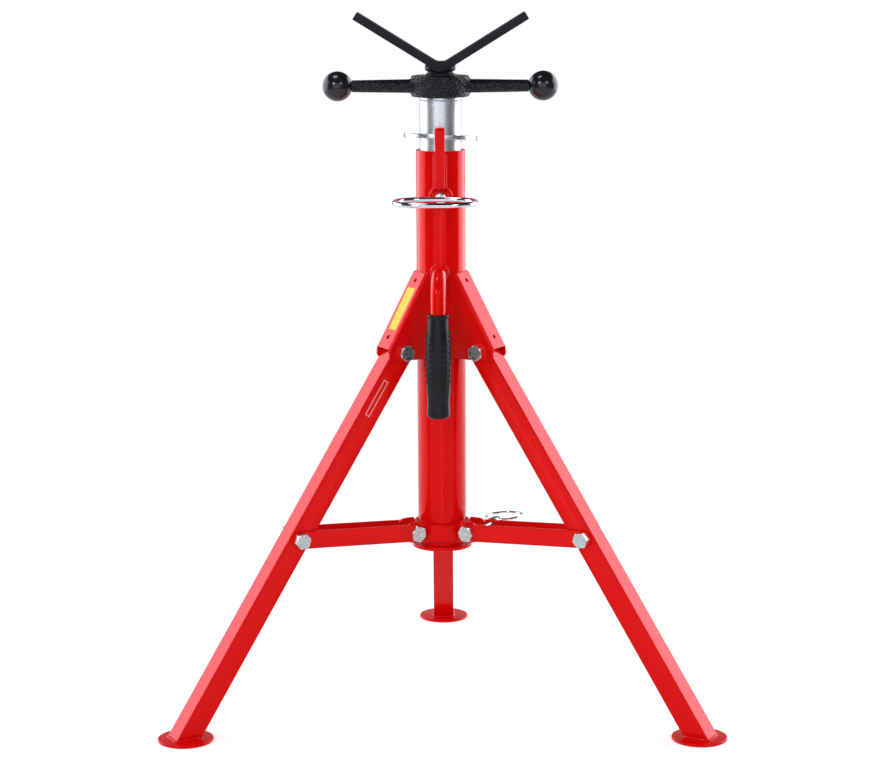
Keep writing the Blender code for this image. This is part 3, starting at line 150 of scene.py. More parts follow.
def soften(points: list, radius: float, steps: int = 4, closed: bool = True) -> list:
    """Rounds every corner of an outline.

    Args:
        points: the outline.
        radius: how far from each corner the rounding starts.
        steps: chords in each rounded corner.
        closed: whether the last point joins the first.

    Returns:
        The rounded outline.
    """
    result = []
    count = len(points)
    for index, point in enumerate(points):
        if not closed and index in (0, count - 1):
            result.append(tuple(point))
            continue
        corner = Vector(point)
        before = Vector(points[index - 1]) - corner
        after = Vector(points[(index + 1) % count]) - corner
        reach = min(radius, before.length * LONGEST_CORNER, after.length * LONGEST_CORNER)
        first = corner + before.normalized() * reach
        last = corner + after.normalized() * reach
        for step in range(steps + 1):
            share = step / steps
            blend = first * (1 - share) ** 2 + corner * 2 * share * (1 - share) + last * share**2
            result.append(tuple(blend))
    return result


def block(left: float, right: float, low: float, high: float) -> list:
    """Makes the four corners of a rectangle."""
    return [(left, low), (right, low), (right, high), (left, high)]


def on_leg(distance: float) -> Pair:
    """Finds the point (radius, height) at a distance down an open leg."""
    turn = math.radians(LEG_ANGLE)
    return (LEG_PIVOT[0] + distance * math.sin(turn), LEG_PIVOT[1] - distance * math.cos(turn))


def move_to(x: float, y: float, z: float) -> Matrix:
    """Makes a move from the origin to a point."""
    return Matrix.Translation((x, y, z))


def axis_turn(degrees: float, axis: str = "Z") -> Matrix:
    """Makes a turn about an axis through the origin."""
    return Matrix.Rotation(math.radians(degrees), 4, axis)


MAST = move_to(0, MAST_Y, 0)


def plane(azimuth: float) -> Matrix:
    """Makes the frame of a leg's upright plane: X points out from the mast, Z up."""
    return MAST @ axis_turn(azimuth)


# Meshes.


def placed(name: str, data: bpy.types.ID) -> Object:
    """Puts a mesh, a light or a camera into the scene.

    Args:
        name: name of the new object.
        data: what the object shows.

    Returns:
        The object.
    """
    obj = bpy.data.objects.new(name, data)
    bpy.context.scene.collection.objects.link(obj)
    return obj


def written(name: str, build: bmesh.types.BMesh) -> Object:
    """Turns a bmesh into an object as it is.

    Args:
        name: name of the new object.
        build: the bmesh, which is freed.

    Returns:
        The object.
    """
    mesh = bpy.data.meshes.new(name)
    build.to_mesh(mesh)
    build.free()
    return placed(name, mesh)


def to_object(name: str, build: bmesh.types.BMesh) -> Object:
    """Turns a bmesh into an object, its points joined and its faces pointing out.

    Args:
        name: name of the new object.
        build: the bmesh, which is freed.

    Returns:
        The object.
    """
    bmesh.ops.remove_doubles(build, verts=build.verts, dist=1e-7)
    bmesh.ops.recalc_face_normals(build, faces=build.faces)
    return written(name, build)


@contextmanager
def edited(obj: Object) -> Iterator[bmesh.types.BMesh]:
    """Opens an object's mesh for editing, and writes it back at the end.

    Args:
        obj: the object.

    Yields:
        The mesh's bmesh.
    """
    build = bmesh.new()
    build.from_mesh(obj.data)
    yield build
    build.to_mesh(obj.data)
    build.free()


def prism(name: str, outline: list, low: float, high: float, axis: Axis = Axis.Z) -> Object:
    """Pushes an outline along an axis.

    Args:
        name: name of the new object.
        outline: (x, y) pairs on axis Z, (x, z) on axis Y, (y, z) on axis X.
        low: start along the axis.
        high: end along the axis.
        axis: the axis.

    Returns:
        The solid.
    """
    order = {
        Axis.X: lambda u, v, w: (w, u, v),
        Axis.Y: lambda u, v, w: (u, w, v),
        Axis.Z: lambda u, v, w: (u, v, w),
    }[axis]
    build = bmesh.new()
    rows = [[build.verts.new(order(u, v, level)) for u, v in outline] for level in (low, high)]
    build.faces.new(rows[0])
    build.faces.new(rows[1][::-1])
    count = len(outline)
    for index in range(count):
        after = (index + 1) % count
        build.faces.new((rows[0][index], rows[0][after], rows[1][after], rows[1][index]))
    return to_object(name, build)


def lathe(name: str, profile: list, sides: int, closed: bool = False) -> Object:
    """Turns a profile about Z.

    Args:
        name: name of the new object.
        profile: (radius, height) pairs.
        sides: steps round the axis.
        closed: whether the profile is a loop, as a tube's wall is.

    Returns:
        The solid.
    """
    build = bmesh.new()
    rings = []
    for radius, height in profile:
        if radius < 1e-7:
            rings.append([build.verts.new((0, 0, height))])
        else:
            rings.append([build.verts.new((x, y, height)) for x, y in circle(radius, sides)])
    pairs = list(zip(rings, rings[1:]))
    if closed:
        pairs.append((rings[-1], rings[0]))
    for first, second in pairs:
        for index in range(sides):
            after = (index + 1) % sides
            if len(first) == 1 and len(second) == 1:
                continue
            if len(first) == 1:
                build.faces.new((first[0], second[index], second[after]))
            elif len(second) == 1:
                build.faces.new((first[index], second[0], first[after]))
            else:
                build.faces.new((first[index], second[index], second[after], first[after]))
    return to_object(name, build)


def wire(name: str, points: list, closed: bool = False) -> Object:
    """Makes a line of edges for a tree of Geometry Nodes to follow.

    Args:
        name: name of the new object.
        points: the line's points.
        closed: whether the last point joins the first.

    Returns:
        The line.
    """
    build = bmesh.new()
    verts = [build.verts.new(point) for point in points]
    for first, second in zip(verts, verts[1:]):
        build.edges.new((first, second))
    if closed:
        build.edges.new((verts[-1], verts[0]))
    return written(name, build)


def bake(obj: Object) -> Object:
    """Replaces an object's mesh with what its modifiers make of it.

    Args:
        obj: the object.

    Returns:
        The same object.
    """
    graph = bpy.context.evaluated_depsgraph_get()
    mesh = bpy.data.meshes.new_from_object(obj.evaluated_get(graph), depsgraph=graph)
    obj.modifiers.clear()
    old = obj.data
    obj.data = mesh
    bpy.data.meshes.remove(old)
    return obj


def combine(body: Object, tool: Object, operation: str = "DIFFERENCE") -> Object:
    """Cuts, joins or intersects a body with a tool, which is then removed.

    Args:
        body: the body.
        tool: the tool.
        operation: the Boolean modifier's operation.

    Returns:
        The body.
    """
    modifier = body.modifiers.new("shape", "BOOLEAN")
    modifier.operation = operation
    modifier.solver = "EXACT"
    modifier.object = tool
    bake(body)
    bpy.data.objects.remove(tool)
    return body


def drill(body: Object, radius: float, matrix: Matrix, depth: float) -> None:
    """Bores a round hole along the Y axis of a frame."""
    combine(body, moved(prism("drill", circle(radius, HOLE), -depth, depth, Axis.Y), matrix))


def fit_to_tube(body: Object, low: float, high: float) -> None:
    """Cuts away what would lie in the red tube, and leaves the gap of a welded seat."""
    combine(body, prism("tube", circle(TUBE_RADIUS + SEAT_GAP, FINEST), low, high))


def merged(name: str, parts: list) -> Object:
    """Puts several objects' meshes into one object.

    Args:
        name: name of the new object.
        parts: the objects, which are removed.

    Returns:
        The object that holds them all.
    """
    build = bmesh.new()
    for part in parts:
        build.from_mesh(part.data)
        bpy.data.objects.remove(part)
    return written(name, build)


def round_off(obj: Object, width: float, segments: int = 3, angle: float = 38.0) -> Object:
    """Rounds an object's sharp edges.

    Args:
        obj: the object.
        width: width of the rounding.
        segments: steps across it.
        angle: least angle of an edge that is rounded, in degrees.

    Returns:
        The same object.
    """
    with edited(obj) as build:
        bmesh.ops.remove_doubles(build, verts=build.verts, dist=2e-6)
        flat = math.radians(0.4)
        bmesh.ops.dissolve_limit(build, angle_limit=flat, verts=build.verts, edges=build.edges, delimit=set())
    modifier = obj.modifiers.new("edges", "BEVEL")
    modifier.width = width
    modifier.segments = segments
    modifier.limit_method = "ANGLE"
    modifier.angle_limit = math.radians(angle)
    modifier.use_clamp_overlap = False
    return bake(obj)


def even(obj: Object, angle: float = 48.0) -> Object:
    """Shades rounded edges smooth and keeps the flat faces between them flat.

    Args:
        obj: the object.
        angle: least angle of an edge that stays hard, in degrees.

    Returns:
        The same object.
    """
    smooth(obj, angle)
    modifier = obj.modifiers.new("even", "WEIGHTED_NORMAL")
    modifier.keep_sharp = True
    modifier.weight = 90
    return bake(obj)


def smooth(obj: Object, angle: float = 40.0) -> Object:
    """Shades an object smooth, with hard edges above an angle.

    Args:
        obj: the object.
        angle: the angle, in degrees.

    Returns:
        The same object.
    """
    obj.data.shade_smooth()
    obj.data.set_sharp_from_angle(angle=math.radians(angle))
    return obj


def moved(obj: Object, matrix: Matrix) -> Object:
    """Moves an object's mesh, and leaves its origin."""
    obj.data.transform(matrix)
    return obj


def twin(obj: Object, name: str) -> Object:
    """Copies an object with a mesh of its own."""
    return placed(name, obj.data.copy())


# Geometry Nodes.


class Graph:
    """Nodes under construction in a node tree."""

    def __init__(self, tree: NodeTree) -> None:
        """Takes the tree that the nodes go into."""
        self.nodes = tree.nodes
        self.links = tree.links

    def feed(self, socket: NodeSocket, value: object) -> None:
        """Feeds an input.

        Args:
            socket: the input.
            value: the socket that it is linked to, or its plain value.
        """
        if isinstance(value, NodeSocket):
            self.links.new(value, socket)
        else:
            socket.default_value = value

    def add(self, kind: str, inputs: dict | None = None, **settings: object) -> Node:
        """Adds a node.

        Args:
            kind: the node's type.
            inputs: for an input's name or number what feeds it.
            settings: the node's own settings.

        Returns:
            The node.
        """
        node = self.nodes.new(kind)
        for key, value in settings.items():
            setattr(node, key, value)
        for key, value in (inputs or {}).items():
            self.feed(node.inputs[key], value)
        return node

    def math(self, operation: str, *values: float | NodeSocket) -> NodeSocket:
        """Adds a Math node."""
        return self.add("ShaderNodeMath", dict(enumerate(values)), operation=operation).outputs[0]

    def spread(
        self, value: NodeSocket, start: Pair, end: Pair = (0.0, 1.0), shape: str = "LINEAR"
    ) -> NodeSocket:
        """Maps one range of numbers to another."""
        ends = {"From Min": start[0], "From Max": start[1], "To Min": end[0], "To Max": end[1]}
        return self.add("ShaderNodeMapRange", {**ends, "Value": value}, interpolation_type=shape).outputs[0]

    def layer(self, share: NodeSocket, *shaders: NodeSocket) -> NodeSocket:
        """Mixes two shaders."""
        return self.add("ShaderNodeMixShader", dict(enumerate((share, *shaders)))).outputs[0]


class Tree(Graph):
    """A tree of Geometry Nodes under construction."""

    def __init__(self, name: str, inputs: dict) -> None:
        """Starts a tree.

        Args:
            name: its name.
            inputs: for each named input its default, or none for an object.
        """
        kinds = {float: "NodeSocketFloat", int: "NodeSocketInt", type(None): "NodeSocketObject"}
        self.group = bpy.data.node_groups.new(name, "GeometryNodeTree")
        super().__init__(self.group)
        face = self.group.interface
        face.new_socket("Geometry", in_out="INPUT", socket_type="NodeSocketGeometry")
        for label, default in inputs.items():
            socket = face.new_socket(label, in_out="INPUT", socket_type=kinds[type(default)])
            if default is not None:
                socket.default_value = default
        face.new_socket("Material", in_out="INPUT", socket_type="NodeSocketMaterial")
        face.new_socket("Geometry", in_out="OUTPUT", socket_type="NodeSocketGeometry")
        self.given = self.add("NodeGroupInput").outputs
        self.target = self.add("NodeGroupOutput").inputs[0]

    def skin(self, line: NodeSocket, sides: int | NodeSocket) -> NodeSocket:
        """Draws a round skin with closed ends along a line.

        Args:
            line: the line, as a curve.
            sides: number of the skin's sides.

        Returns:
            The skin.
        """
        size = {"Radius": self.given["Radius"], "Resolution": sides}
        ring = self.add("GeometryNodeCurvePrimitiveCircle", size)
        inputs = {"Curve": line, "Profile Curve": ring.outputs[0], "Fill Caps": True}
        return self.add("GeometryNodeCurveToMesh", inputs).outputs[0]

    def close(self, geometry: NodeSocket, smooth: bool = True) -> NodeTree:
        """Ends the tree in Realize Instances and Set Material.

        Args:
            geometry: what the tree has made.
            smooth: whether it is shaded smooth.

        Returns:
            The finished tree.
        """
        if smooth:
            geometry = self.add("GeometryNodeSetShadeSmooth", {"Geometry": geometry}).outputs[0]
        real = self.add("GeometryNodeRealizeInstances", {0: geometry})
        inputs = {"Geometry": real.outputs[0], "Material": self.given["Material"]}
        self.feed(self.target, self.add("GeometryNodeSetMaterial", inputs).outputs[0])
        return self.group


def round_rod_tree() -> NodeTree:
    """Builds the tree that makes a round rod along a line of edges.

    Returns:
        The tree.
    """
    tree = Tree("round_rod", {"Radius": 0.003, "Sides": 24})
    line = tree.add("GeometryNodeMeshToCurve", {"Mesh": tree.given["Geometry"]})
    return tree.close(tree.skin(line.outputs[0], tree.given["Sides"]))


def weld_tree(step: float = 0.00045, sides: int = 12, lumps: float = 260.0, unrest: float = 3.0) -> NodeTree:
    """Builds the tree that lays a rippled weld bead along a line of edges.

    Args:
        step: distance of the rings along the bead.
        sides: number of its sides.
        lumps: lumps to a metre.
        unrest: how much the lumps stand out against the even ripples.

    Returns:
        The tree.
    """
    tree = Tree("weld_bead", {"Radius": 0.0016, "Ripple": 0.0022, "Height": 0.0003, "Seed": 1.0})
    given = tree.given
    line = tree.add("GeometryNodeMeshToCurve", {"Mesh": given["Geometry"]})
    fine = tree.add("GeometryNodeResampleCurve", {"Curve": line.outputs[0], "Length": step}, mode="LENGTH")
    store = tree.add("GeometryNodeCaptureAttribute", domain="POINT")
    store.capture_items.new("FLOAT", "Run")
    tree.feed(store.inputs["Geometry"], fine.outputs[0])
    tree.feed(store.inputs["Run"], tree.add("GeometryNodeSplineParameter").outputs["Length"])
    skin = tree.skin(store.outputs["Geometry"], sides)
    pattern = {"Scale": lumps, "Detail": 1.0, "W": given["Seed"]}
    noise = tree.add("ShaderNodeTexNoise", pattern, noise_dimensions="4D")
    turns = tree.math("DIVIDE", store.outputs["Run"], given["Ripple"])
    wave = tree.math("SINE", tree.math("MULTIPLY", turns, 2 * math.pi))
    rough = tree.math("MULTIPLY", tree.math("SUBTRACT", noise.outputs[0], 0.5), unrest)
    lift = tree.math("MULTIPLY", tree.math("ADD", wave, rough), given["Height"])
    normal = tree.add("GeometryNodeInputNormal")
    offset = tree.add("ShaderNodeVectorMath", {0: normal.outputs[0], "Scale": lift}, operation="SCALE")
    place = tree.add("GeometryNodeSetPosition", {"Geometry": skin, "Offset": offset.outputs[0]})
    return tree.close(place.outputs[0])


def thread_tree(flanks: Pair = (0.34, 0.66)) -> NodeTree:
    """Builds the tree that cuts a right-hand thread into a finely turned bar that stands on Z.

    Args:
        flanks: where the flank starts and ends, as shares of the way from crest to root.

    Returns:
        The tree.
    """
    sizes = {"Lead": 0.006, "Depth": 0.002, "Least Radius": 0.010, "Low": 0.0, "High": 0.1}
    tree = Tree("screw_thread", sizes)
    given = tree.given
    place = tree.add("GeometryNodeInputPosition")
    x, y, z = tree.add("ShaderNodeSeparateXYZ", {0: place.outputs[0]}).outputs
    turn = tree.math("DIVIDE", tree.math("ARCTAN2", y, x), 2 * math.pi)
    rise = tree.math("SUBTRACT", tree.math("DIVIDE", z, given["Lead"]), turn)
    wave = tree.math("PINGPONG", tree.math("MULTIPLY", tree.math("FRACT", rise), 2.0), 1.0)
    shape = tree.spread(wave, flanks)
    radius = tree.math("SQRT", tree.math("ADD", tree.math("MULTIPLY", x, x), tree.math("MULTIPLY", y, y)))
    outer = tree.math("GREATER_THAN", radius, given["Least Radius"])
    above = tree.math("GREATER_THAN", z, given["Low"])
    below = tree.math("LESS_THAN", z, given["High"])
    mask = tree.math("MULTIPLY", tree.math("MULTIPLY", above, below), outer)
    deep = tree.math("MULTIPLY", tree.math("MULTIPLY", shape, given["Depth"]), mask)
    scale = tree.math("DIVIDE", tree.math("SUBTRACT", radius, deep), tree.math("MAXIMUM", radius, NEAR_ZERO))
    spot = {0: tree.math("MULTIPLY", x, scale), 1: tree.math("MULTIPLY", y, scale), 2: z}
    join = tree.add("ShaderNodeCombineXYZ", spot)
    move = tree.add("GeometryNodeSetPosition", {"Geometry": given["Geometry"], "Position": join.outputs[0]})
    return tree.close(move.outputs[0])


def repeat_tree() -> NodeTree:
    """Builds the tree that sets one master piece on every point, turned by the point's own turn.

    Returns:
        The tree.
    """
    tree = Tree("set_in_place", {"Master": None})
    info = tree.add("GeometryNodeObjectInfo", {"Object": tree.given["Master"]}, transform_space="ORIGINAL")
    turn = tree.add("GeometryNodeInputNamedAttribute", {"Name": "turn"}, data_type="FLOAT_VECTOR")
    euler = tree.add("FunctionNodeEulerToRotation", {0: turn.outputs["Attribute"]})
    points = {"Points": tree.given["Geometry"], "Instance": info.outputs["Geometry"]}
    put = tree.add("GeometryNodeInstanceOnPoints", {**points, "Rotation": euler.outputs[0]})
    return tree.close(put.outputs[0], smooth=False)


def run_tree(obj: Object, tree: NodeTree, **values: object) -> Object:
    """Runs a tree on an object and keeps the result as a plain mesh.

    Args:
        obj: the object that carries the points or edges.
        tree: the tree.
        values: the named inputs, with _ for a space.

    Returns:
        The same object.
    """
    modifier = obj.modifiers.new("nodes", "NODES")
    modifier.node_group = tree
    names = {item.name: item.identifier for item in tree.interface.items_tree if item.in_out == "INPUT"}
    for label, value in values.items():
        modifier[names[label.replace("_", " ")]] = value
    return bake(obj)


def points_object(name: str, places: list) -> Object:
    """Makes an object of loose points, each with its turn.

    Args:
        name: name of the new object.
        places: the frames that the master piece is set in.

    Returns:
        The object.
    """
    mesh = bpy.data.meshes.new(name)
    mesh.from_pydata([tuple(place.translation) for place in places], [], [])
    turns = mesh.attributes.new("turn", "FLOAT_VECTOR", "POINT")
    for item, place in zip(turns.data, places):
        item.vector = tuple(place.to_euler("XYZ"))
    return placed(name, mesh)


@dataclass
class Trees:
    """The trees of Geometry Nodes that the pieces share."""

    rod: NodeTree = field(default_factory=round_rod_tree)
    weld: NodeTree = field(default_factory=weld_tree)
    thread: NodeTree = field(default_factory=thread_tree)
    repeat: NodeTree = field(default_factory=repeat_tree)


# Finishes.


class Shader(Graph):
    """A material under construction, its patterns on Object coordinates."""

    def __init__(self, name: str) -> None:
        """Starts a material.

        Args:
            name: its name.
        """
        self.material = bpy.data.materials.new(name)
        self.material.use_nodes = True
        super().__init__(self.material.node_tree)
        self.surface = self.nodes["Principled BSDF"]
        self.place = self.add("ShaderNodeTexCoord").outputs["Object"]

    def set(self, **values: object) -> None:
        """Feeds the shader's own inputs, named with _ for a space."""
        for key, value in values.items():
            self.feed(self.surface.inputs[key.replace("_", " ")], value)

    def noise(self, scale: float, detail: float, roughness: float = 0.5) -> NodeSocket:
        """Adds a noise."""
        inputs = {"Scale": scale, "Detail": detail, "Roughness": roughness, "Vector": self.place}
        return self.add("ShaderNodeTexNoise", inputs).outputs[0]

    def cells(self, scale: float) -> NodeSocket:
        """Adds a pattern of cells, this many to a metre."""
        return self.add("ShaderNodeTexVoronoi", {"Scale": scale, "Vector": self.place}).outputs["Distance"]

    def blend(self, share: NodeSocket, first: Triple | NodeSocket, second: Triple | NodeSocket) -> NodeSocket:
        """Mixes two colours.

        Args:
            share: how much of the second one shows.
            first: a socket or a plain colour.
            second: a socket or a plain colour.

        Returns:
            The mixed colour.
        """
        ends = [(*colour, 1.0) if isinstance(colour, tuple) else colour for colour in (first, second)]
        inputs = {"Factor": share, 6: ends[0], 7: ends[1]}
        return self.add("ShaderNodeMix", inputs, data_type="RGBA").outputs[2]

    def edges(self, low: float, high: float) -> NodeSocket:
        """Finds the convex edges, from 0 on flat faces to 1 on sharp edges; the finishes paint edge
        highlights with it.
        """
        return self.spread(self.add("ShaderNodeNewGeometry").outputs["Pointiness"], (low, high))

    def bump(
        self, height: NodeSocket, distance: float, strength: float, under: NodeSocket | None = None
    ) -> NodeSocket:
        """Adds a bump.

        Args:
            height: the height pattern.
            distance: depth of the pattern, in metres.
            strength: how much of it shows.
            under: a bump below this one.

        Returns:
            The bent normal.
        """
        inputs = {"Height": height, "Distance": distance, "Strength": strength}
        if under is not None:
            inputs["Normal"] = under
        return self.add("ShaderNodeBump", inputs).outputs[0]

    def finish(self, colour: NodeSocket, roughness: NodeSocket, normal: NodeSocket) -> Material:
        """Joins the patterns to the shader and returns the material."""
        self.set(Base_Color=colour, Roughness=roughness, Normal=normal)
        return self.material


@dataclass(frozen=True)
class PowderCoat:
    """Glossy paint with a fine orange peel, and a painted highlight that makes it lighter on edges."""

    name: str = "red_powder_coat"
    colour: Triple = (0.70, 0.0030, 0.0020)
    deep: Triple = (0.66, 0.0026, 0.0017)
    # Painted highlight: the lighter red that sharp edges get.
    edge: Triple = (0.82, 0.012, 0.010)
    tint: Triple = (1.0, 0.10, 0.10)
    rough: Pair = (0.07, 0.11)
    peel: float = 520.0
    ior: float = 1.76

    def make(self) -> Material:
        """Makes the material.

        Returns:
            The material.
        """
        shader = Shader(self.name)
        shader.set(IOR=self.ior, Specular_Tint=(*self.tint, 1.0))
        tone = shader.blend(shader.noise(9.0, detail=4.0), self.colour, self.deep)
        # Painted highlight: convex edges are lightened, in place of the light that rounded edges catch.
        painted_edge_highlight = shader.blend(shader.edges(0.53, 0.62), tone, self.edge)
        rough = shader.spread(shader.noise(40.0, detail=3.0), MIDDLE, self.rough)
        peel = shader.bump(shader.noise(self.peel, detail=1.5), distance=0.0002, strength=0.30)
        fine = shader.noise(self.peel * 1.7, detail=1.0)
        grain = shader.bump(fine, distance=0.0001, strength=0.40, under=peel)
        return shader.finish(painted_edge_highlight, rough, grain)


@dataclass(frozen=True)
class GrainedZinc:
    """Zinc plate whose crystals scatter the light in fine grains."""

    name: str = "grained_zinc"
    light: Triple = (0.92, 0.92, 0.92)
    dark: Triple = (0.58, 0.58, 0.58)
    rim: Triple = (0.36, 0.36, 0.37)
    rough: Pair = (0.26, 0.42)
    grain: float = 1300.0
    bump: float = 0.55

    def make(self) -> Material:
        """Makes the material.

        Returns:
            The material.
        """
        shader = Shader(self.name)
        shader.set(Metallic=1.0, Specular_Tint=(*self.rim, 1.0))
        fine = shader.noise(self.grain, detail=3.0, roughness=0.7)
        broad = shader.noise(60.0, detail=5.0, roughness=0.6)
        tone = shader.blend(shader.spread(fine, (0.32, 0.68)), self.dark, self.light)
        stained = shader.blend(shader.spread(broad, (0.35, 0.75), (0.0, 0.35)), tone, self.dark)
        rough = shader.spread(shader.noise(self.grain * 0.6, detail=2.0), MIDDLE, self.rough)
        grain = shader.bump(fine, distance=0.00012, strength=self.bump)
        return shader.finish(stained, rough, grain)


@dataclass(frozen=True)
class PlatedSteel:
    """Bright zinc on bolts and nuts, clouded and a little greenish, with a painted highlight on sharp edges.
    """

    name: str = "bolt_zinc"
    # light is the pale end of the clouding and also the colour of the painted edge highlight.
    light: Triple = (0.92, 0.94, 0.92)
    dark: Triple = (0.34, 0.38, 0.35)
    rough: Pair = (0.24, 0.42)

    def make(self) -> Material:
        """Makes the material.

        Returns:
            The material.
        """
        shader = Shader(self.name)
        shader.set(Metallic=1.0)
        cloud = shader.spread(shader.noise(760.0, detail=4.0, roughness=0.75), (0.38, 0.60))
        tone = shader.blend(cloud, self.dark, self.light)
        # Painted highlight: sharp edges of heads and nuts are lightened, for the white glints on their
        # facets.
        bright = shader.blend(shader.edges(0.52, 0.60), tone, self.light)
        rough = shader.spread(shader.noise(300.0, detail=3.0), MIDDLE, self.rough)
        grain = shader.bump(shader.noise(900.0, detail=3.0), distance=0.0002, strength=0.25)
        return shader.finish(bright, rough, grain)


@dataclass(frozen=True)
class BrightChrome:
    """Polished plate with faint wipe marks."""

    name: str = "bright_chrome"
    colour: Triple = (0.80, 0.81, 0.82)
    marked: Triple = (0.70, 0.71, 0.72)
    rough: Pair = (0.04, 0.13)

    def make(self) -> Material:
        """Makes the material.

        Returns:
            The material.
        """
        shader = Shader(self.name)
        shader.set(Metallic=1.0)
        marks = shader.noise(130.0, detail=5.0, roughness=0.7)
        tone = shader.blend(shader.spread(marks, (0.5, 0.8)), self.colour, self.marked)
        rough = shader.spread(marks, (0.3, 0.75), self.rough)
        grain = shader.bump(shader.noise(300.0, detail=2.0), distance=0.0001, strength=0.05)
        return shader.finish(tone, rough, grain)


@dataclass(frozen=True)
class HammeredPaint:
    """Black hammer-finish paint on a rough casting."""

    name: str = "hammered_black"
    colour: Triple = (0.004, 0.004, 0.0045)
    high: Triple = (0.014, 0.014, 0.015)
    dimple: float = 330.0

    def make(self) -> Material:
        """Makes the material.

        Returns:
            The material.
        """
        shader = Shader(self.name)
        shader.set(IOR=1.5, Specular_IOR_Level=0.22, Coat_Weight=0.03, Coat_Roughness=0.1)
        dimples = shader.cells(self.dimple)
        pits = shader.noise(self.dimple * 2.2, detail=3.0, roughness=0.65)
        tone = shader.blend(shader.spread(dimples, (0.35, 0.8)), self.colour, self.high)
        rough = shader.spread(pits, MIDDLE, (0.12, 0.30))
        hammered = shader.bump(dimples, distance=0.0016, strength=0.75)
        grain = shader.bump(pits, distance=0.0007, strength=0.5, under=hammered)
        return shader.finish(tone, rough, grain)


@dataclass(frozen=True)
class SatinPaint:
    """Satin black powder coat, with a painted highlight that makes it lighter on sharp edges."""

    name: str = "satin_black"
    level: float = 0.22
    colour: Triple = (0.006, 0.006, 0.007)
    # Painted highlight: the lighter black that sharp edges get.
    edge: Triple = (0.055, 0.055, 0.058)
    rough: Pair = (0.36, 0.50)

    def make(self) -> Material:
        """Makes the material.

        Returns:
            The material.
        """
        shader = Shader(self.name)
        shader.set(Specular_IOR_Level=self.level)
        # Painted highlight: sharp edges are lightened, for the thin light line along the bar's edges.
        tone = shader.blend(shader.edges(0.54, 0.64), self.colour, self.edge)
        rough = shader.spread(shader.noise(70.0, detail=4.0), MIDDLE, self.rough)
        grain = shader.bump(shader.noise(1100.0, detail=2.0), distance=0.0002, strength=0.22)
        return shader.finish(tone, rough, grain)


@dataclass(frozen=True)
class MouldedPlastic:
    """Glossy black phenolic of the balls, with faint handling marks."""

    name: str = "gloss_black"
    colour: Triple = (0.006, 0.006, 0.007)
    marked: Triple = (0.012, 0.012, 0.013)
    rough: Pair = (0.14, 0.22)

    def make(self) -> Material:
        """Makes the material.

        Returns:
            The material.
        """
        shader = Shader(self.name)
        shader.set(IOR=1.52)
        marks = shader.noise(90.0, detail=6.0, roughness=0.7)
        tone = shader.blend(marks, self.colour, self.marked)
        rough = shader.spread(marks, (0.35, 0.75), self.rough)
        grain = shader.bump(shader.noise(160.0, detail=2.0), distance=0.0001, strength=0.05)
        return shader.finish(tone, rough, grain)


@dataclass(frozen=True)
class GripRubber:
    """Matt rubber with a fine grain, a little greyer where hands rub it."""

    name: str = "grip_rubber"
    level: float = 0.22
    colour: Triple = (0.007, 0.007, 0.008)
    rubbed: Triple = (0.014, 0.014, 0.015)
    rough: Pair = (0.26, 0.36)

    def make(self) -> Material:
        """Makes the material.

        Returns:
            The material.
        """
        shader = Shader(self.name)
        shader.set(Specular_IOR_Level=self.level)
        hands = shader.spread(shader.noise(45.0, detail=4.0), (0.4, 0.8))
        tone = shader.blend(hands, self.colour, self.rubbed)
        rough = shader.spread(shader.noise(120.0, detail=4.0), MIDDLE, self.rough)
        grain = shader.bump(shader.noise(1600.0, detail=2.0), distance=0.0002, strength=0.3)
        return shader.finish(tone, rough, grain)


@dataclass(frozen=True)
class LabelFilm:
    """A plain sticker film with slight scuffs."""

    name: str = "yellow_label"
    colour: Triple = (0.90, 0.58, 0.020)
    scuffed: Triple = (0.80, 0.49, 0.016)
    level: float = 0.22
    rough: Pair = (0.30, 0.42)

    def make(self) -> Material:
        """Makes the material.

        Returns:
            The material.
        """
        shader = Shader(self.name)
        shader.set(Specular_IOR_Level=self.level)
        scuffs = shader.spread(shader.noise(240.0, detail=5.0, roughness=0.7), (0.45, 0.8))
        tone = shader.blend(scuffs, self.colour, self.scuffed)
        rough = shader.spread(shader.noise(90.0, detail=3.0), MIDDLE, self.rough)
        grain = shader.bump(shader.noise(400.0, detail=2.0), distance=0.00008, strength=0.2)
        return shader.finish(tone, rough, grain)


PLATE_ZINC = GrainedZinc(name="plate_zinc", grain=900.0, bump=0.2, rough=(0.2, 0.36))
PALE_FILM = LabelFilm(name="pale_label", colour=(0.85, 0.50, 0.48), scuffed=(0.75, 0.38, 0.36))


@dataclass
class Finishes:
    """The materials, made once."""

    red: Material = field(default_factory=PowderCoat().make)
    tube_zinc: Material = field(default_factory=GrainedZinc().make)
    plate_zinc: Material = field(default_factory=PLATE_ZINC.make)
    bolt: Material = field(default_factory=PlatedSteel().make)
    chrome: Material = field(default_factory=BrightChrome().make)
    hammered: Material = field(default_factory=HammeredPaint().make)
    satin: Material = field(default_factory=SatinPaint().make)
    gloss: Material = field(default_factory=MouldedPlastic().make)
    rubber: Material = field(default_factory=GripRubber().make)
    yellow: Material = field(default_factory=LabelFilm().make)
    pale: Material = field(default_factory=PALE_FILM.make)


def dress(piece: Object, body: str, material: Material, slot: Slot, *nodes: str) -> None:
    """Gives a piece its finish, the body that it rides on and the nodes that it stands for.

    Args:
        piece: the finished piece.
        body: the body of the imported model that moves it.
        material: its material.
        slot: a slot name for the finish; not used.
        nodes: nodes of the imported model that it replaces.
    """
    piece.data.materials.clear()
    piece.data.materials.append(material)
    for face in piece.data.polygons:
        face.material_index = 0
    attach(piece, body)
    if nodes:
        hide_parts(*nodes)
    faces, stands_for = len(piece.data.polygons), ", ".join(nodes) or "trim"
    log.info("%s rides on %s, %d faces, for %s", piece.name, body, faces, stands_for)


# Sub-assemblies.


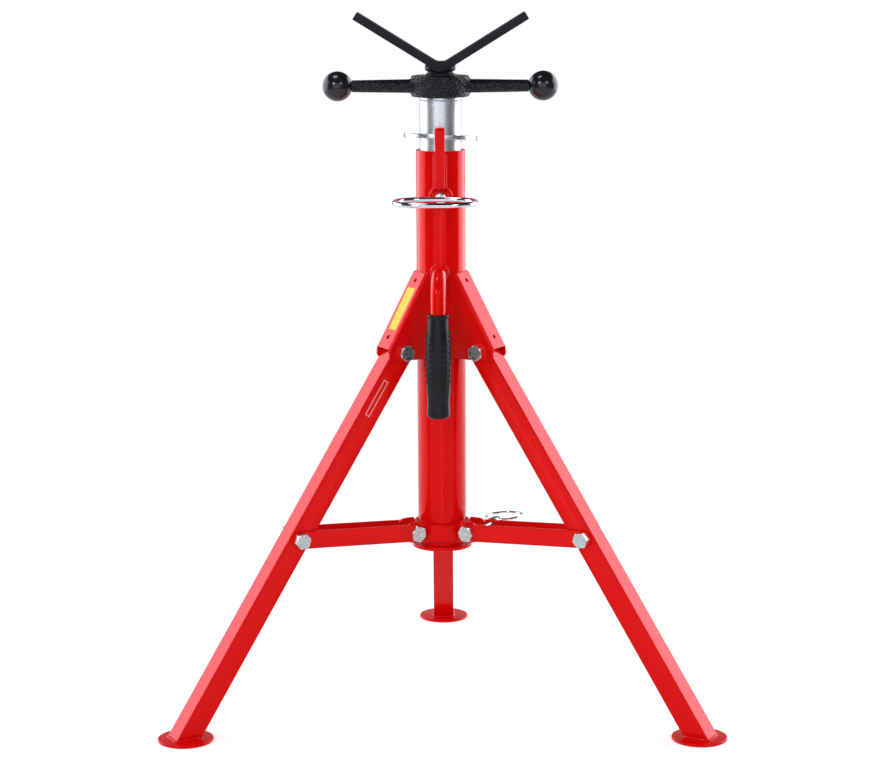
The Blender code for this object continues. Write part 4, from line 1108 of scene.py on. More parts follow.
@dataclass
class WeldShop:
    """Makes the weld beads."""

    trees: Trees
    finishes: Finishes

    def paint(self, piece: Object, body: str, *nodes: str) -> None:
        """Dresses a piece in the red paint."""
        dress(piece, body, self.finishes.red, Slot.RED, *nodes)

    def bead(self, name: str, points: list, radius: float, closed: bool, seed: float) -> Object:
        """Lays one bead.

        Args:
            name: name of the new object.
            points: the line that the bead follows.
            radius: its radius.
            closed: whether it closes on itself.
            seed: picks its bumps.

        Returns:
            The bead as a mesh.
        """
        line = wire(name, points, closed)
        values = {"Radius": radius, "Ripple": radius * 1.5, "Height": radius * 0.09, "Seed": seed}
        return run_tree(line, self.trees.weld, Material=self.finishes.red, **values)


@dataclass
class MainTube:
    """The red outer tube with its bottom ring, lock bar and clamp nut."""

    shop: WeldShop
    top: float = 0.6576
    bottom: float = 0.1857
    wall: float = 0.0035
    ring_radius: float = 0.0356
    ring_height: float = 0.0044
    bar_width: float = 0.0114
    lean: float = 0.0007
    bar_low: float = 0.6162
    bar_top: float = 0.6859
    bar_radius: float = 0.048
    slot_height: float = 0.6755
    slot_half: float = 0.0043
    slot_depth: float = 0.0443
    nut_flats: float = 0.018
    nut_face: float = 0.0393
    clamp_height: float = 0.6054
    clamp_bore: float = 0.0063
    edge: float = 0.0007
    ring_edge: float = 0.0009
    bar_edge: float = 0.0009
    bar_corner: float = 0.005
    slot_corner: float = 0.001
    bar_bead: float = 0.0021
    nut_bead: float = 0.0027
    bead_aside: float = 0.0006
    bead_inset: float = 0.002
    nut_corner: Triple = (0.0008, 0.0005, 0.0012)
    weld_aside: float = 0.0010
    weld_lift: float = 0.0009
    nut_span: float = 0.1

    def build(self) -> None:
        """Makes and dresses the tube and what is welded to it."""
        wall = block(TUBE_RADIUS - self.wall, TUBE_RADIUS, self.bottom, self.top)
        tube = lathe("main_tube", soften(wall, self.edge), FINEST, closed=True)
        drill(tube, self.clamp_bore, move_to(0, -TUBE_RADIUS, self.clamp_height), PAST_WALL)
        self.shop.paint(smooth(moved(tube, MAST)), "frame", "outer_tube")

        inner = TUBE_RADIUS + SEAT_GAP
        ring = block(inner, self.ring_radius, self.bottom, self.bottom + self.ring_height)
        foot_ring = lathe("base_ring", soften(ring, self.ring_edge), FINE, closed=True)
        self.shop.paint(smooth(moved(foot_ring, MAST)), "frame", "bottom_ring")
        self.lock_bar()
        self.clamp_nut()

    def lock_bar(self) -> None:
        """Makes the upright bar whose slot holds the lock plate, and the welds on both its sides."""
        inner = TUBE_RADIUS + SEAT_GAP
        outline = [(inner, self.bar_low), (self.bar_radius, self.bar_low)]
        middle = (self.bar_radius - self.bar_corner, self.bar_top - self.bar_corner)
        outline += arc(middle, self.bar_corner, 0, 90, 10)
        outline.append((inner, self.bar_top))
        bar = prism("lock_bar_body", outline, -self.bar_width / 2, self.bar_width / 2, Axis.Y)
        low, high = self.slot_height - self.slot_half, self.slot_height + self.slot_half
        slot = block(0, self.slot_depth, low, high)
        combine(bar, prism("slot", soften(slot, self.slot_corner), -PAST_WALL, PAST_WALL, Axis.Y))
        even(round_off(bar, self.bar_edge))
        moved(bar, MAST @ move_to(-self.lean, 0, 0) @ axis_turn(-90))
        self.shop.paint(bar, "frame", "lock_bar")
        beads = []
        for side in (-1, 1):
            x = side * (self.bar_width / 2 + self.bead_aside) - self.lean
            start = Vector((x, MAST_Y - TUBE_RADIUS * 0.99, self.bar_low - self.bead_inset))
            end = start + Vector((0, 0, self.top - self.bar_low - self.bead_inset))
            beads.append(self.shop.bead("bead", [start, end], self.bar_bead, False, 3.0 + side))
        self.shop.paint(merged("lock_bar_welds", beads), "frame")

    def clamp_nut(self) -> None:
        """Makes the hex nut of the clamp screw and the weld round it."""
        corner = self.nut_flats / math.sqrt(3)
        outline = arc((0, 0), corner, 30, 330, 5)
        nut = prism("clamp_nut_body", outline, 0, self.nut_face)
        inset, clear, drop = self.nut_corner
        dome = [(0, self.nut_face), (self.nut_flats / 2 - inset, self.nut_face)]
        dome += [(corner + clear, self.nut_face - drop), (corner + clear, 0), (0, 0)]
        combine(nut, lathe("dome", dome, ROUND), "INTERSECT")
        round_off(nut, self.edge)
        combine(nut, prism("bore", circle(self.clamp_bore, 48), -PAST_WALL, 2 * THROUGH))
        moved(nut, move_to(0, 0, self.clamp_height) @ axis_turn(90, "X"))
        fit_to_tube(nut, self.clamp_height - self.nut_span, self.clamp_height + self.nut_span)
        even(nut)
        self.shop.paint(moved(nut, MAST), "frame", "clamp_nut")
        loop = []
        for x, z in circle(corner + self.weld_aside, 48):
            depth = math.sqrt(TUBE_RADIUS**2 - x**2)
            loop.append((x, MAST_Y - depth - self.weld_lift, self.clamp_height + z))
        lumps = self.shop.bead("clamp_nut_weld", loop, self.nut_bead, True, 7.0)
        self.shop.paint(lumps, "frame")


@dataclass
class LegBrackets:
    """The three folded channels that carry the legs."""

    shop: WeldShop
    sheet: float = 0.003
    top: float = 0.5157
    bottom: float = 0.4159
    strip_top: float = 0.0294
    strip_end: Pair = (0.0785, 0.4306)
    corner: float = 0.008
    fold: float = 0.0038
    hole: float = 0.0027
    hole_heights: Pair = (0.5067, 0.4431)
    side_bead: float = 0.0014
    top_bead: float = 0.0013
    bead_lift: float = 0.0002
    bead_aside: float = 0.0003
    bead_start: float = 0.002
    bead_short: float = 0.003
    bead_inset: float = 0.0015
    past: float = 0.005
    same: float = 1e-5

    def outline(self) -> list:
        """Makes the bracket's side view, from the mast axis out.

        Returns:
            The (radius, height) pairs.
        """
        middle = (self.strip_end[0] - self.corner, self.bottom + self.corner)
        points = [(0, self.bottom), (0, self.top), (self.strip_top, self.top), self.strip_end]
        return points + arc(middle, self.corner, 0, -90, 14)

    def slope(self) -> tuple[Vector, Vector]:
        """Finds the strip's way down and its way out."""
        down = (Vector(self.strip_end) - Vector((self.strip_top, self.top))).normalized()
        return down, Vector((-down.y, down.x))

    def master(self) -> Object:
        """Makes one bracket in its own plane.

        Returns:
            The bracket.
        """
        half = CHANNEL_WIDTH / 2
        bracket = prism("bracket", self.outline(), -half, half, Axis.Y)
        down, out = self.slope()
        end = Vector(self.strip_end)
        with edited(bracket) as build:
            folds = []
            for edge in build.edges:
                ends = [Vector((vert.co.x, vert.co.z)) for vert in edge.verts]
                level = abs(edge.verts[0].co.y - edge.verts[1].co.y) < self.same
                if level and all(abs((point - end).dot(out)) < self.same for point in ends):
                    folds.append(edge)
            bmesh.ops.bevel(build, geom=folds, offset=self.fold, segments=8, profile=0.5, affect="EDGES")
        inner_end = end - out * self.sheet - down * SEAT_GAP
        start = inner_end - down * (inner_end.x / down.x)
        beyond = inner_end + out * THROUGH
        below, past = self.bottom - self.past, self.past
        pocket = [tuple(start), tuple(inner_end), tuple(beyond)]
        pocket += [(beyond.x, below), (-past, below), (-past, start.y)]
        combine(bracket, prism("pocket", pocket, -CLEAR_WIDTH / 2, CLEAR_WIDTH / 2, Axis.Y))
        fit_to_tube(bracket, 0, 0.7)
        round_off(bracket, SHEET_EDGE, 2, SHARP)
        tilt = math.atan2(out.x, out.y)
        for height in self.hole_heights:
            place = end + down * ((height - end.y) / down.y)
            tool = prism("drill", circle(self.hole, 28), -2 * self.sheet, self.sheet)
            tool.data.transform(move_to(place.x, 0, place.y) @ Matrix.Rotation(tilt, 4, "Y"))
            combine(bracket, tool)
        drill(bracket, BOLT_RADIUS + HOLE_GAP, move_to(LEG_PIVOT[0], 0, LEG_PIVOT[1]), THROUGH)
        return even(bracket)

    def beads(self, name: str) -> Object:
        """Lays the welds of one bracket: down both cheeks and across the top of the strip.

        Args:
            name: name of the new object.

        Returns:
            The beads.
        """
        lines = []
        half = CHANNEL_WIDTH / 2
        side = math.sqrt(TUBE_RADIUS**2 - half**2)
        for sign in (-1, 1):
            aside = sign * (half + self.bead_aside)
            low = Vector((side + self.bead_lift, aside, self.bottom + self.bead_start))
            high = low + Vector((0, 0, self.top - self.bottom - self.bead_short))
            lines.append(self.shop.bead("bead", [low, high], self.side_bead, False, sign + 5.0))
        across = []
        for step in range(13):
            turn = math.asin((half - self.bead_inset) / TUBE_RADIUS) * (step / 6 - 1)
            x, y = TUBE_RADIUS * math.cos(turn), TUBE_RADIUS * math.sin(turn)
            across.append((x, y, self.top + self.bead_lift))
        lines.append(self.shop.bead("bead", across, self.top_bead, False, 9.0))
        return merged(name, lines)

    def build(self) -> None:
        """Makes and dresses the three brackets and their welds."""
        master = self.master()
        for name, azimuth in AZIMUTHS.items():
            bracket = moved(twin(master, f"bracket_{name}"), plane(azimuth))
            self.shop.paint(bracket, "frame", f"leg_bracket_{name}")
            welds = moved(self.beads(f"bracket_welds_{name}"), plane(azimuth))
            self.shop.paint(welds, "frame")
        bpy.data.objects.remove(master)


@dataclass
class Fasteners:
    """The hex bolts and nuts of the folding base."""

    trees: Trees
    finishes: Finishes
    flats: float = 0.017
    head: float = 0.0064
    nut: float = 0.008
    tail: float = 0.002
    lead: float = 0.0015
    depth: float = 0.0008
    core: float = 0.0039
    spin: float = 17.0
    edge: float = 0.00035
    chamfer: float = 0.0003
    clear: float = 0.0004
    mouth: float = 0.0013

    def hexagon(self, name: str, low: float, high: float, both: bool) -> Object:
        """Makes a hex block with turned-off corners and fine edges.

        Args:
            name: name of the new object.
            low: its lower face.
            high: its upper face.
            both: whether the lower corners are turned off too.

        Returns:
            The block.
        """
        corner = self.flats / math.sqrt(3)
        inner = self.flats / 2 - self.chamfer
        drop = (corner - inner) / math.sqrt(3)
        block = prism(name, circle(corner, 6), low, high)
        outer, above, below = corner + self.clear, high + OVERRUN, low - OVERRUN
        profile = [(0, above), (inner, above), (inner, high), (outer, high - drop)]
        if both:
            profile += [(outer, low + drop), (inner, low), (inner, below), (0, below)]
        else:
            profile += [(outer, below), (0, below)]
        combine(block, lathe("corners", profile, SMALL), "INTERSECT")
        return even(round_off(block, self.edge, 2, 25.0), 20.0)

    def bolt_master(self) -> Object:
        """Makes a bolt whose head stands on +Z, threaded at its far end.

        Returns:
            The bolt.
        """
        length = CHANNEL_WIDTH + 2 * SEAT_GAP + self.nut + self.tail
        head = self.hexagon("bolt_head", 0.0, self.head, False)
        start = -length + 0.0001
        rows = 26
        shank = [(0, -length), (BOLT_RADIUS - 0.0011, -length)]
        for row in range(rows + 1):
            height = start + (self.nut + self.tail) * row / rows
            shank.append((min(BOLT_RADIUS, BOLT_RADIUS - 0.001 + (height + length)), height))
        shank += [(BOLT_RADIUS, OVERRUN), (0, OVERRUN)]
        bar = lathe("shank", shank, 24)
        values = {"Lead": self.lead, "Depth": self.depth, "Least_Radius": self.core, "Low": -length + 0.0002}
        high = start + self.nut + self.tail - 0.0005
        run_tree(bar, self.trees.thread, High=high, Material=self.finishes.bolt, **values)
        return merged("bolt_master", [head, bar])

    def nut_master(self) -> Object:
        """Makes a nut that hangs below its face.

        Returns:
            The nut.
        """
        block = self.hexagon("nut_master", -self.nut, 0.0, True)
        hole, mouth = BOLT_RADIUS + HOLE_GAP, BOLT_RADIUS + self.mouth
        below = -self.nut - OVERRUN
        tool = [(0, OVERRUN), (mouth, OVERRUN), (hole, -self.depth), (hole, self.depth - self.nut)]
        tool += [(mouth, below), (0, below)]
        combine(block, lathe("bore", tool, HOLE))
        return even(block, 20.0)

    def places(self, point: Pair, azimuth: float, side: float, turn: float) -> tuple[Matrix, Matrix]:
        """Finds the frames of a bolt and its nut.

        Args:
            point: the bolt's (radius, height) in the leg's plane.
            azimuth: direction of that plane.
            side: which side the head is on.
            turn: turn of the hexagons, in degrees.

        Returns:
            The bolt's frame and the nut's.
        """
        face = CHANNEL_WIDTH / 2 + SEAT_GAP
        aim = axis_turn(-90 * side, "X") @ axis_turn(turn)
        base = plane(azimuth) @ move_to(point[0], 0, point[1])
        return (
            base @ move_to(0, face * side, 0) @ aim,
            base @ move_to(0, -face * side, 0) @ aim,
        )

    def build(self) -> None:
        """Sets every bolt and nut in its place."""
        bolt, nut = self.bolt_master(), self.nut_master()
        sets = {
            "pivot": ("frame", LEG_PIVOT, 0.0, list(AZIMUTHS)),
            "collar": ("collar", COLLAR_PIVOT, 20.0, list(AZIMUTHS)),
        }
        for name in AZIMUTHS:
            sets[f"brace_{name}"] = (f"leg_{name}_body", BRACE_END, 10.0, [name])
        for label, (body, point, turn, legs) in sets.items():
            kind = label.split("_")[0]
            frames = []
            for index, name in enumerate(legs):
                frames.append(self.places(point, AZIMUTHS[name], HEAD_SIDES[name], turn + index * self.spin))
            for master, word, index in ((bolt, "bolt", 0), (nut, "nut", 1)):
                cloud = points_object(f"{label}_{word}s", [pair[index] for pair in frames])
                run_tree(cloud, self.trees.repeat, Master=master, Material=self.finishes.bolt)
                dress(cloud, body, self.finishes.bolt, Slot.ZINC, *[f"{kind}_{word}_{name}" for name in legs])
        bpy.data.objects.remove(bolt)
        bpy.data.objects.remove(nut)


@dataclass
class Collar:
    """The ring that slides on the tube, with two ears for each brace."""

    shop: WeldShop
    radius: float = 0.033
    height: float = 0.0205
    below: float = 0.0116
    bore: float = 0.029
    ear_radius: float = 0.0132
    ear: float = 0.0035
    bead: float = 0.0011
    edge: float = 0.0012
    ear_edge: float = 0.0006
    ear_root: float = 0.0315

    def build(self) -> None:
        """Makes and dresses the collar."""
        low, high = -self.below, self.height - self.below
        wall = block(self.bore, self.radius, low, high)
        ring = lathe("collar_ring", soften(wall, self.edge), FINE, closed=True)
        parts = [smooth(ring)]
        outer = CLEAR_WIDTH / 2 - SEAT_GAP
        end = math.degrees(math.asin(low / self.ear_radius))
        outline = arc((COLLAR_PIVOT[0], 0), self.ear_radius, 90, end, 26)
        outline += [(self.ear_root, low), (self.ear_root, high), (self.radius, self.ear_radius)]
        for azimuth in AZIMUTHS.values():
            for side in (-1, 1):
                faces = sorted((side * outer, side * (outer - self.ear)))
                ear = prism("ear", outline, faces[0], faces[1], Axis.Y)
                round_off(ear, self.ear_edge)
                drill(ear, BOLT_RADIUS + HOLE_GAP, move_to(COLLAR_PIVOT[0], 0, 0), THROUGH)
                even(ear)
                parts.append(moved(ear, axis_turn(azimuth)))
                reach = math.sqrt(self.radius**2 - outer**2)
                aside = side * (outer + 0.0002)
                line = [(reach, aside, low + 0.002), (reach, aside, high - 0.001)]
                bead = self.shop.bead("bead", line, self.bead, False, azimuth + side)
                parts.append(moved(bead, axis_turn(azimuth)))
        collar = moved(merged("collar_body", parts), move_to(0, MAST_Y, COLLAR_PIVOT[1]))
        self.shop.paint(collar, "collar", "sliding_collar")


@dataclass
class Braces:
    """The three channels between the collar and the legs."""

    finishes: Finishes
    sheet: float = 0.003
    depth: float = 0.021
    web_start: float = 0.0125
    web_free: float = 0.054
    fold: float = 0.0022
    pin: Pair = (0.0168, 0.006)
    pin_radius: float = 0.003

    def frame_of(self, azimuth: float) -> Matrix:
        """Finds a brace's frame: X runs from the collar bolt to the outer bolt.

        Args:
            azimuth: direction of the leg, in degrees.

        Returns:
            The frame.
        """
        slope = math.atan2(BRACE_END[1] - COLLAR_PIVOT[1], BRACE_END[0] - COLLAR_PIVOT[0])
        place = move_to(COLLAR_PIVOT[0], 0, COLLAR_PIVOT[1])
        return plane(azimuth) @ place @ Matrix.Rotation(-slope, 4, "Y")

    def master(self, pinned: bool) -> Object:
        """Makes one brace along +X, with or without the hole of the lock pin.

        Args:
            pinned: whether it has the hole.

        Returns:
            The brace.
        """
        length = math.dist(BRACE_END, COLLAR_PIVOT)
        half, end = CHANNEL_WIDTH / 2, self.depth / 2
        past = end + 0.004
        outline = arc((0, 0), end, 90, 270, 26) + arc((length, 0), end, -90, 90, 26)
        outline.insert(27, (0, -past))
        outline.insert(28, (length, -past))
        brace = prism("brace", outline, -past - half, past + half, Axis.Y)
        fold = half - self.fold
        section = [(half, past)] + arc((fold, self.fold - end), self.fold, 0, -90, 8)
        section += arc((-fold, self.fold - end), self.fold, -90, -180, 8) + [(-half, past)]
        combine(brace, prism("section", section, -past, length + past, Axis.X), "INTERSECT")
        top = -end + self.sheet
        web_end = length - self.web_free
        channel = [(-past, -past), (self.web_start, -past), (self.web_start, top), (web_end, top)]
        channel += [(web_end, -past), (length + past, -past), (length + past, past), (-past, past)]
        combine(brace, prism("channel", channel, -CLEAR_WIDTH / 2, CLEAR_WIDTH / 2, Axis.Y))
        round_off(brace, SHEET_EDGE, 2, SHARP)
        for x in (0.0, length):
            drill(brace, BOLT_RADIUS + HOLE_GAP, move_to(x, 0, 0), THROUGH)
        if pinned:
            far_wall = move_to(self.pin[0], THROUGH, self.pin[1])
            drill(brace, self.pin_radius + HOLE_GAP, far_wall, THROUGH)
        return even(brace)

    def build(self) -> None:
        """Makes and dresses the three braces."""
        for name, azimuth in AZIMUTHS.items():
            brace = moved(self.master(name == "right"), self.frame_of(azimuth))
            brace.name = f"brace_channel_{name}"
            dress(brace, f"brace_{name}_body", self.finishes.red, Slot.RED, f"brace_{name}")


@dataclass
class Legs:
    """The three square tubes with the discs that they stand on."""

    shop: WeldShop
    wall: float = 0.002
    corner: float = 0.0017
    fullness: float = 0.0007
    disc_radius: float = 0.03175
    disc: float = 0.003
    bead: float = 0.0019
    edge: float = 0.0005
    disc_edge: float = 0.0009
    bore_corner: float = 0.0015
    clear: float = 0.004

    def tube(self) -> Object:
        """Makes one leg in its plane: round at the pivot, cut level above its disc.

        Returns:
            The leg.
        """
        half = LEG_SIDE / 2
        turn = math.radians(LEG_ANGLE)
        down = Vector((math.sin(turn), -math.cos(turn)))
        across = Vector((-down.y, down.x))
        cut = self.disc + SEAT_GAP - LEG_PIVOT[1]
        outline = arc((0, 0), half + self.fullness, LEG_ANGLE, LEG_ANGLE + 180, 28)
        rear, front = across * (-half - self.clear), across * (half + self.clear)
        outline.append(tuple(rear))
        outline.append(tuple(rear + down * ((cut - rear.y) / down.y)))
        outline.append(tuple(front + down * ((cut - front.y) / down.y)))
        outline.append(tuple(front))
        length = LEG_PIVOT[1] / math.cos(turn) + LEG_SIDE
        lean = Matrix.Rotation(-turn, 4, "Y")
        out, back, wide = half + self.fullness, -half - self.fullness / 4, half + self.fullness / 2
        outer = soften([(out, wide), (back, wide), (back, -wide), (out, -wide)], self.corner, 7)
        leg = moved(prism("leg", outer, -length, LEG_SIDE), lean)
        combine(leg, prism("side_view", outline, -LEG_SIDE, LEG_SIDE, Axis.Y), "INTERSECT")
        round_off(leg, self.edge, 2, SHARP)
        inside = half - self.wall
        square = [(inside, inside), (-inside, inside), (-inside, -inside), (inside, -inside)]
        bore = soften(square, self.bore_corner, 4)
        combine(leg, moved(prism("bore", bore, -length, LEG_SIDE), lean))
        reach = math.dist(BRACE_END, LEG_PIVOT)
        for distance in (0.0, reach):
            place = down * distance
            drill(leg, BOLT_RADIUS + HOLE_GAP, move_to(place.x, 0, place.y), THROUGH)
        even(leg, 30.0)
        return moved(leg, move_to(LEG_PIVOT[0], 0, LEG_PIVOT[1]))

    def weld(self) -> Object:
        """Lays the bead round the foot of a leg.

        Returns:
            The bead.
        """
        half = LEG_SIDE / 2
        floor = on_leg((LEG_PIVOT[1] - self.disc) / math.cos(math.radians(LEG_ANGLE)))
        wide = half / math.cos(math.radians(LEG_ANGLE))
        ring = soften([(wide, half), (-wide, half), (-wide, -half), (wide, -half)], self.clear, 6)
        points = [(floor[0] + x, y, self.disc + 0.0004) for x, y in ring]
        return self.shop.bead("foot_weld", points, self.bead, True, 4.0)

    def build(self) -> None:
        """Makes and dresses the legs, their discs and the welds between them."""
        leg = self.tube()
        centre = -4 * MAST_Y
        profile = block(0, self.disc_radius, 0, self.disc)
        disc = lathe("disc", soften(profile, self.disc_edge, closed=False), 112)
        moved(smooth(disc), move_to(centre, 0, 0))
        weld = self.weld()
        for name, azimuth in AZIMUTHS.items():
            body = f"leg_{name}_body"
            tube = moved(twin(leg, f"leg_tube_{name}"), plane(azimuth))
            self.shop.paint(tube, body, f"leg_{name}")
            self.shop.paint(moved(twin(disc, f"foot_disc_{name}"), plane(azimuth)), body, f"foot_{name}")
            self.shop.paint(moved(twin(weld, f"foot_weld_{name}"), plane(azimuth)), body)
        for master in (leg, disc, weld):
            bpy.data.objects.remove(master)


@dataclass
class LockPin:
    """The pin through the right brace, and its pull ring."""

    trees: Trees
    finishes: Finishes
    braces: Braces
    radius: float = 0.003
    head: float = 0.007
    head_length: float = 0.0128
    eye: float = 0.0082
    rise: float = 0.0031
    ring: float = 0.02125
    wire_radius: float = 0.0014
    edge: float = 0.0008
    step: float = 0.0006
    collar: float = 0.004

    def build(self) -> None:
        """Makes and dresses the pin and the ring."""
        spot = move_to(self.braces.pin[0], 0, self.braces.pin[1])
        at = self.braces.frame_of(AZIMUTHS["right"]) @ spot
        under = CHANNEL_WIDTH / 2 + SEAT_GAP
        over = under + self.head_length
        tip = 2 * SEAT_GAP - CLEAR_WIDTH / 2
        neck = self.head - self.step
        body = [(0, tip), (self.radius, tip), (self.radius, under), (self.head, under)]
        body += [(self.head, over - self.collar), (neck, over - self.collar + self.step)]
        body += [(neck, over), (0, over)]
        pin = lathe("pull_pin", soften(body, self.edge, 4, closed=False), 64)
        moved(pin, axis_turn(-90, "X"))
        sag = self.ring - math.sqrt(self.ring**2 - self.head**2)
        hole = self.wire_radius + sag + HOLE_GAP
        eye = move_to(0, under + self.eye, self.rise)
        drill(pin, hole, eye @ axis_turn(90), 0.02)
        dress(smooth(moved(pin, at), 30.0), "lock_pin_body", self.finishes.bolt, Slot.ZINC, "lock_pin")
        loop = [(x, y, 0) for x, y in circle(self.ring, ROUND, (0, self.ring - sag / 2))]
        ring = wire("pull_ring", loop, True)
        run_tree(ring, self.trees.rod, Radius=self.wire_radius, Sides=20, Material=self.finishes.chrome)
        dress(moved(ring, at @ eye), "lock_pin_ring_body", self.finishes.chrome, Slot.CHROME, "lock_pin_ring")


@dataclass
class CarryHandle:
    """The bent rod on the front of the tube, with its rubber grip."""

    shop: WeldShop
    azimuth: float = 267.4
    rod: float = 0.0085
    height: float = 0.5173
    reach: float = 0.072
    bend: float = 0.026
    grip_top: float = 0.4753
    grip_low: float = 0.3543
    widest: float = 0.4321
    radii: Triple = (0.0119, 0.0144, 0.0133)
    dot: float = 0.0018
    dot_pitch: float = 0.0066
    dots_high: float = 0.4560
    dots_low: float = 0.3950
    dots_front_drop: float = 0.014
    dot_columns: int = 16
    dot_rise: float = 0.6
    dot_root: float = -0.0004
    waist: float = 0.0007
    waist_height: float = 0.374
    waist_reach: float = 0.009
    heel: float = 0.0045
    floor: float = 0.006
    lip: float = 0.0020
    bead: float = 0.0024
    rim: float = 0.005
    rim_swell: float = 0.0005
    lip_inset: float = 0.0018
    mouth: Triple = (0.0006, 0.0004, 0.001)
    sunk: float = 0.004
    rod_end: float = 0.0063
    weld_aside: float = 0.0004
    weld_lift: float = 0.0007
    fitted: Pair = (0.4, 0.6)

    def radius_at(self, height: float) -> float:
        """Finds the grip's radius at a height.

        Args:
            height: the height.

        Returns:
            The radius.
        """
        if height > self.widest:
            share = (height - self.widest) / (self.grip_top - self.widest)
            end = self.radii[0]
        else:
            share = (self.widest - height) / (self.widest - self.grip_low)
            end = self.radii[2]
        waist = self.waist * math.exp(-(((height - self.waist_height) / self.waist_reach) ** 2))
        return self.radii[1] + (end - self.radii[1]) * (1 - math.cos(math.pi * share)) / 2 - waist

    def grip(self) -> Object:
        """Makes the grip: a rounded floor, a swelling wall and a rolled rim.

        Returns:
            The grip.
        """
        heel = (self.radii[2] - self.heel, self.grip_low + self.heel)
        outer = [(0, self.grip_low)] + arc(heel, self.heel, -90, 0, 10)
        low, high = self.grip_low + self.floor, self.grip_top - self.rim
        steps = 48
        for step in range(steps + 1):
            height = low + (high - low) * step / steps
            outer.append((self.radius_at(height), height))
        rim = self.radii[0] + self.rim_swell
        outer += arc((rim - self.lip_inset, self.grip_top - self.lip), self.lip, -50, 100, 12)
        bore = self.rod + SEAT_GAP
        aside, above, below = self.mouth
        outer += [(bore + aside, self.grip_top - above), (bore, self.grip_top - below)]
        outer += [(bore, low), (0, low)]
        return smooth(lathe("grip", outer, SMALL), 50.0)

    def dots(self) -> Object:
        """Sets the raised dots in staggered columns, which start lower on the front.

        Returns:
            The dots.
        """
        profile = [(0, self.dot_root), (self.dot, self.dot_root)]
        for step in range(4):
            turn = step * math.pi / 8
            profile.append((self.dot * math.cos(turn), self.dot * self.dot_rise * math.sin(turn)))
        bead = lathe("dot", profile + [(0, self.dot * self.dot_rise)], 10)
        smooth(bead, 80.0)
        places = []
        for column in range(self.dot_columns):
            turn = 2 * math.pi * column / self.dot_columns
            high = self.dots_high - self.dots_front_drop * max(0.0, math.cos(turn)) ** 2
            height = self.dots_low + self.dot_pitch / 2 * (column % 2)
            while height < high:
                aim = Matrix.Rotation(turn, 4, "Z") @ move_to(self.radius_at(height), 0, height)
                places.append(aim @ axis_turn(90, "Y"))
                height += self.dot_pitch
        cloud = points_object("dots", places)
        run_tree(cloud, self.shop.trees.repeat, Master=bead, Material=self.shop.finishes.rubber)
        bpy.data.objects.remove(bead)
        return cloud

    def build(self) -> None:
        """Makes and dresses the rod, its weld and the grip."""
        at = plane(self.azimuth)
        middle = (self.reach - self.bend, self.height - self.bend)
        path = [(TUBE_RADIUS - self.sunk, 0, self.height)]
        path += [(x, 0, z) for x, z in arc(middle, self.bend, 90, 0, 28)]
        path.append((self.reach, 0, self.grip_low + self.rod_end))
        rod = wire("carry_rod", path)
        run_tree(rod, self.shop.trees.rod, Radius=self.rod, Sides=56, Material=self.shop.finishes.red)
        fit_to_tube(rod, *self.fitted)
        self.shop.paint(smooth(moved(rod, at)), "frame", "carry_handle_rod")
        loop = []
        for y, z in circle(self.rod + self.weld_aside, 48):
            loop.append((math.sqrt(TUBE_RADIUS**2 - y**2) + self.weld_lift, y, self.height + z))
        weld = moved(self.shop.bead("carry_rod_weld", loop, self.bead, True, 11.0), at)
        self.shop.paint(weld, "frame")
        grip = merged("carry_grip", [self.grip(), self.dots()])
        moved(grip, at @ move_to(self.reach, 0, 0))
        dress(grip, "frame", self.shop.finishes.rubber, Slot.RUBBER, "carry_handle_grip")


@dataclass
class Mast:
    """The zinc tube that slides in the red one, and the bush in its top."""

    finishes: Finishes
    wall: float = 0.003
    top: float = 0.7149
    length: float = 0.494
    bush_top: float = 0.7184
    hole: float = 0.0156
    edge: float = 0.0006
    bush_edge: float = 0.0005
    bush_depth: float = 0.014

    def build(self) -> None:
        """Makes and dresses the tube and the bush."""
        bore = INNER_RADIUS - self.wall
        low = self.top - self.length
        wall = block(bore, INNER_RADIUS, low, self.top)
        tube = lathe("mast_tube", soften(wall, self.edge), FINE, closed=True)
        dress(smooth(moved(tube, MAST)), "mast", self.finishes.tube_zinc, Slot.ZINC, "inner_tube")
        seat = self.top + SEAT_GAP
        plug = bore - SEAT_GAP
        foot = seat - self.bush_depth
        profile = [(self.hole, foot), (plug, foot), (plug, seat), (INNER_RADIUS, seat)]
        profile += [(INNER_RADIUS, self.bush_top), (self.hole, self.bush_top)]
        bush = lathe("mast_bush", soften(profile, self.bush_edge, 3), ROUND, closed=True)
        dress(smooth(moved(bush, MAST)), "mast", self.finishes.plate_zinc, Slot.ZINC, "thrust_bush")


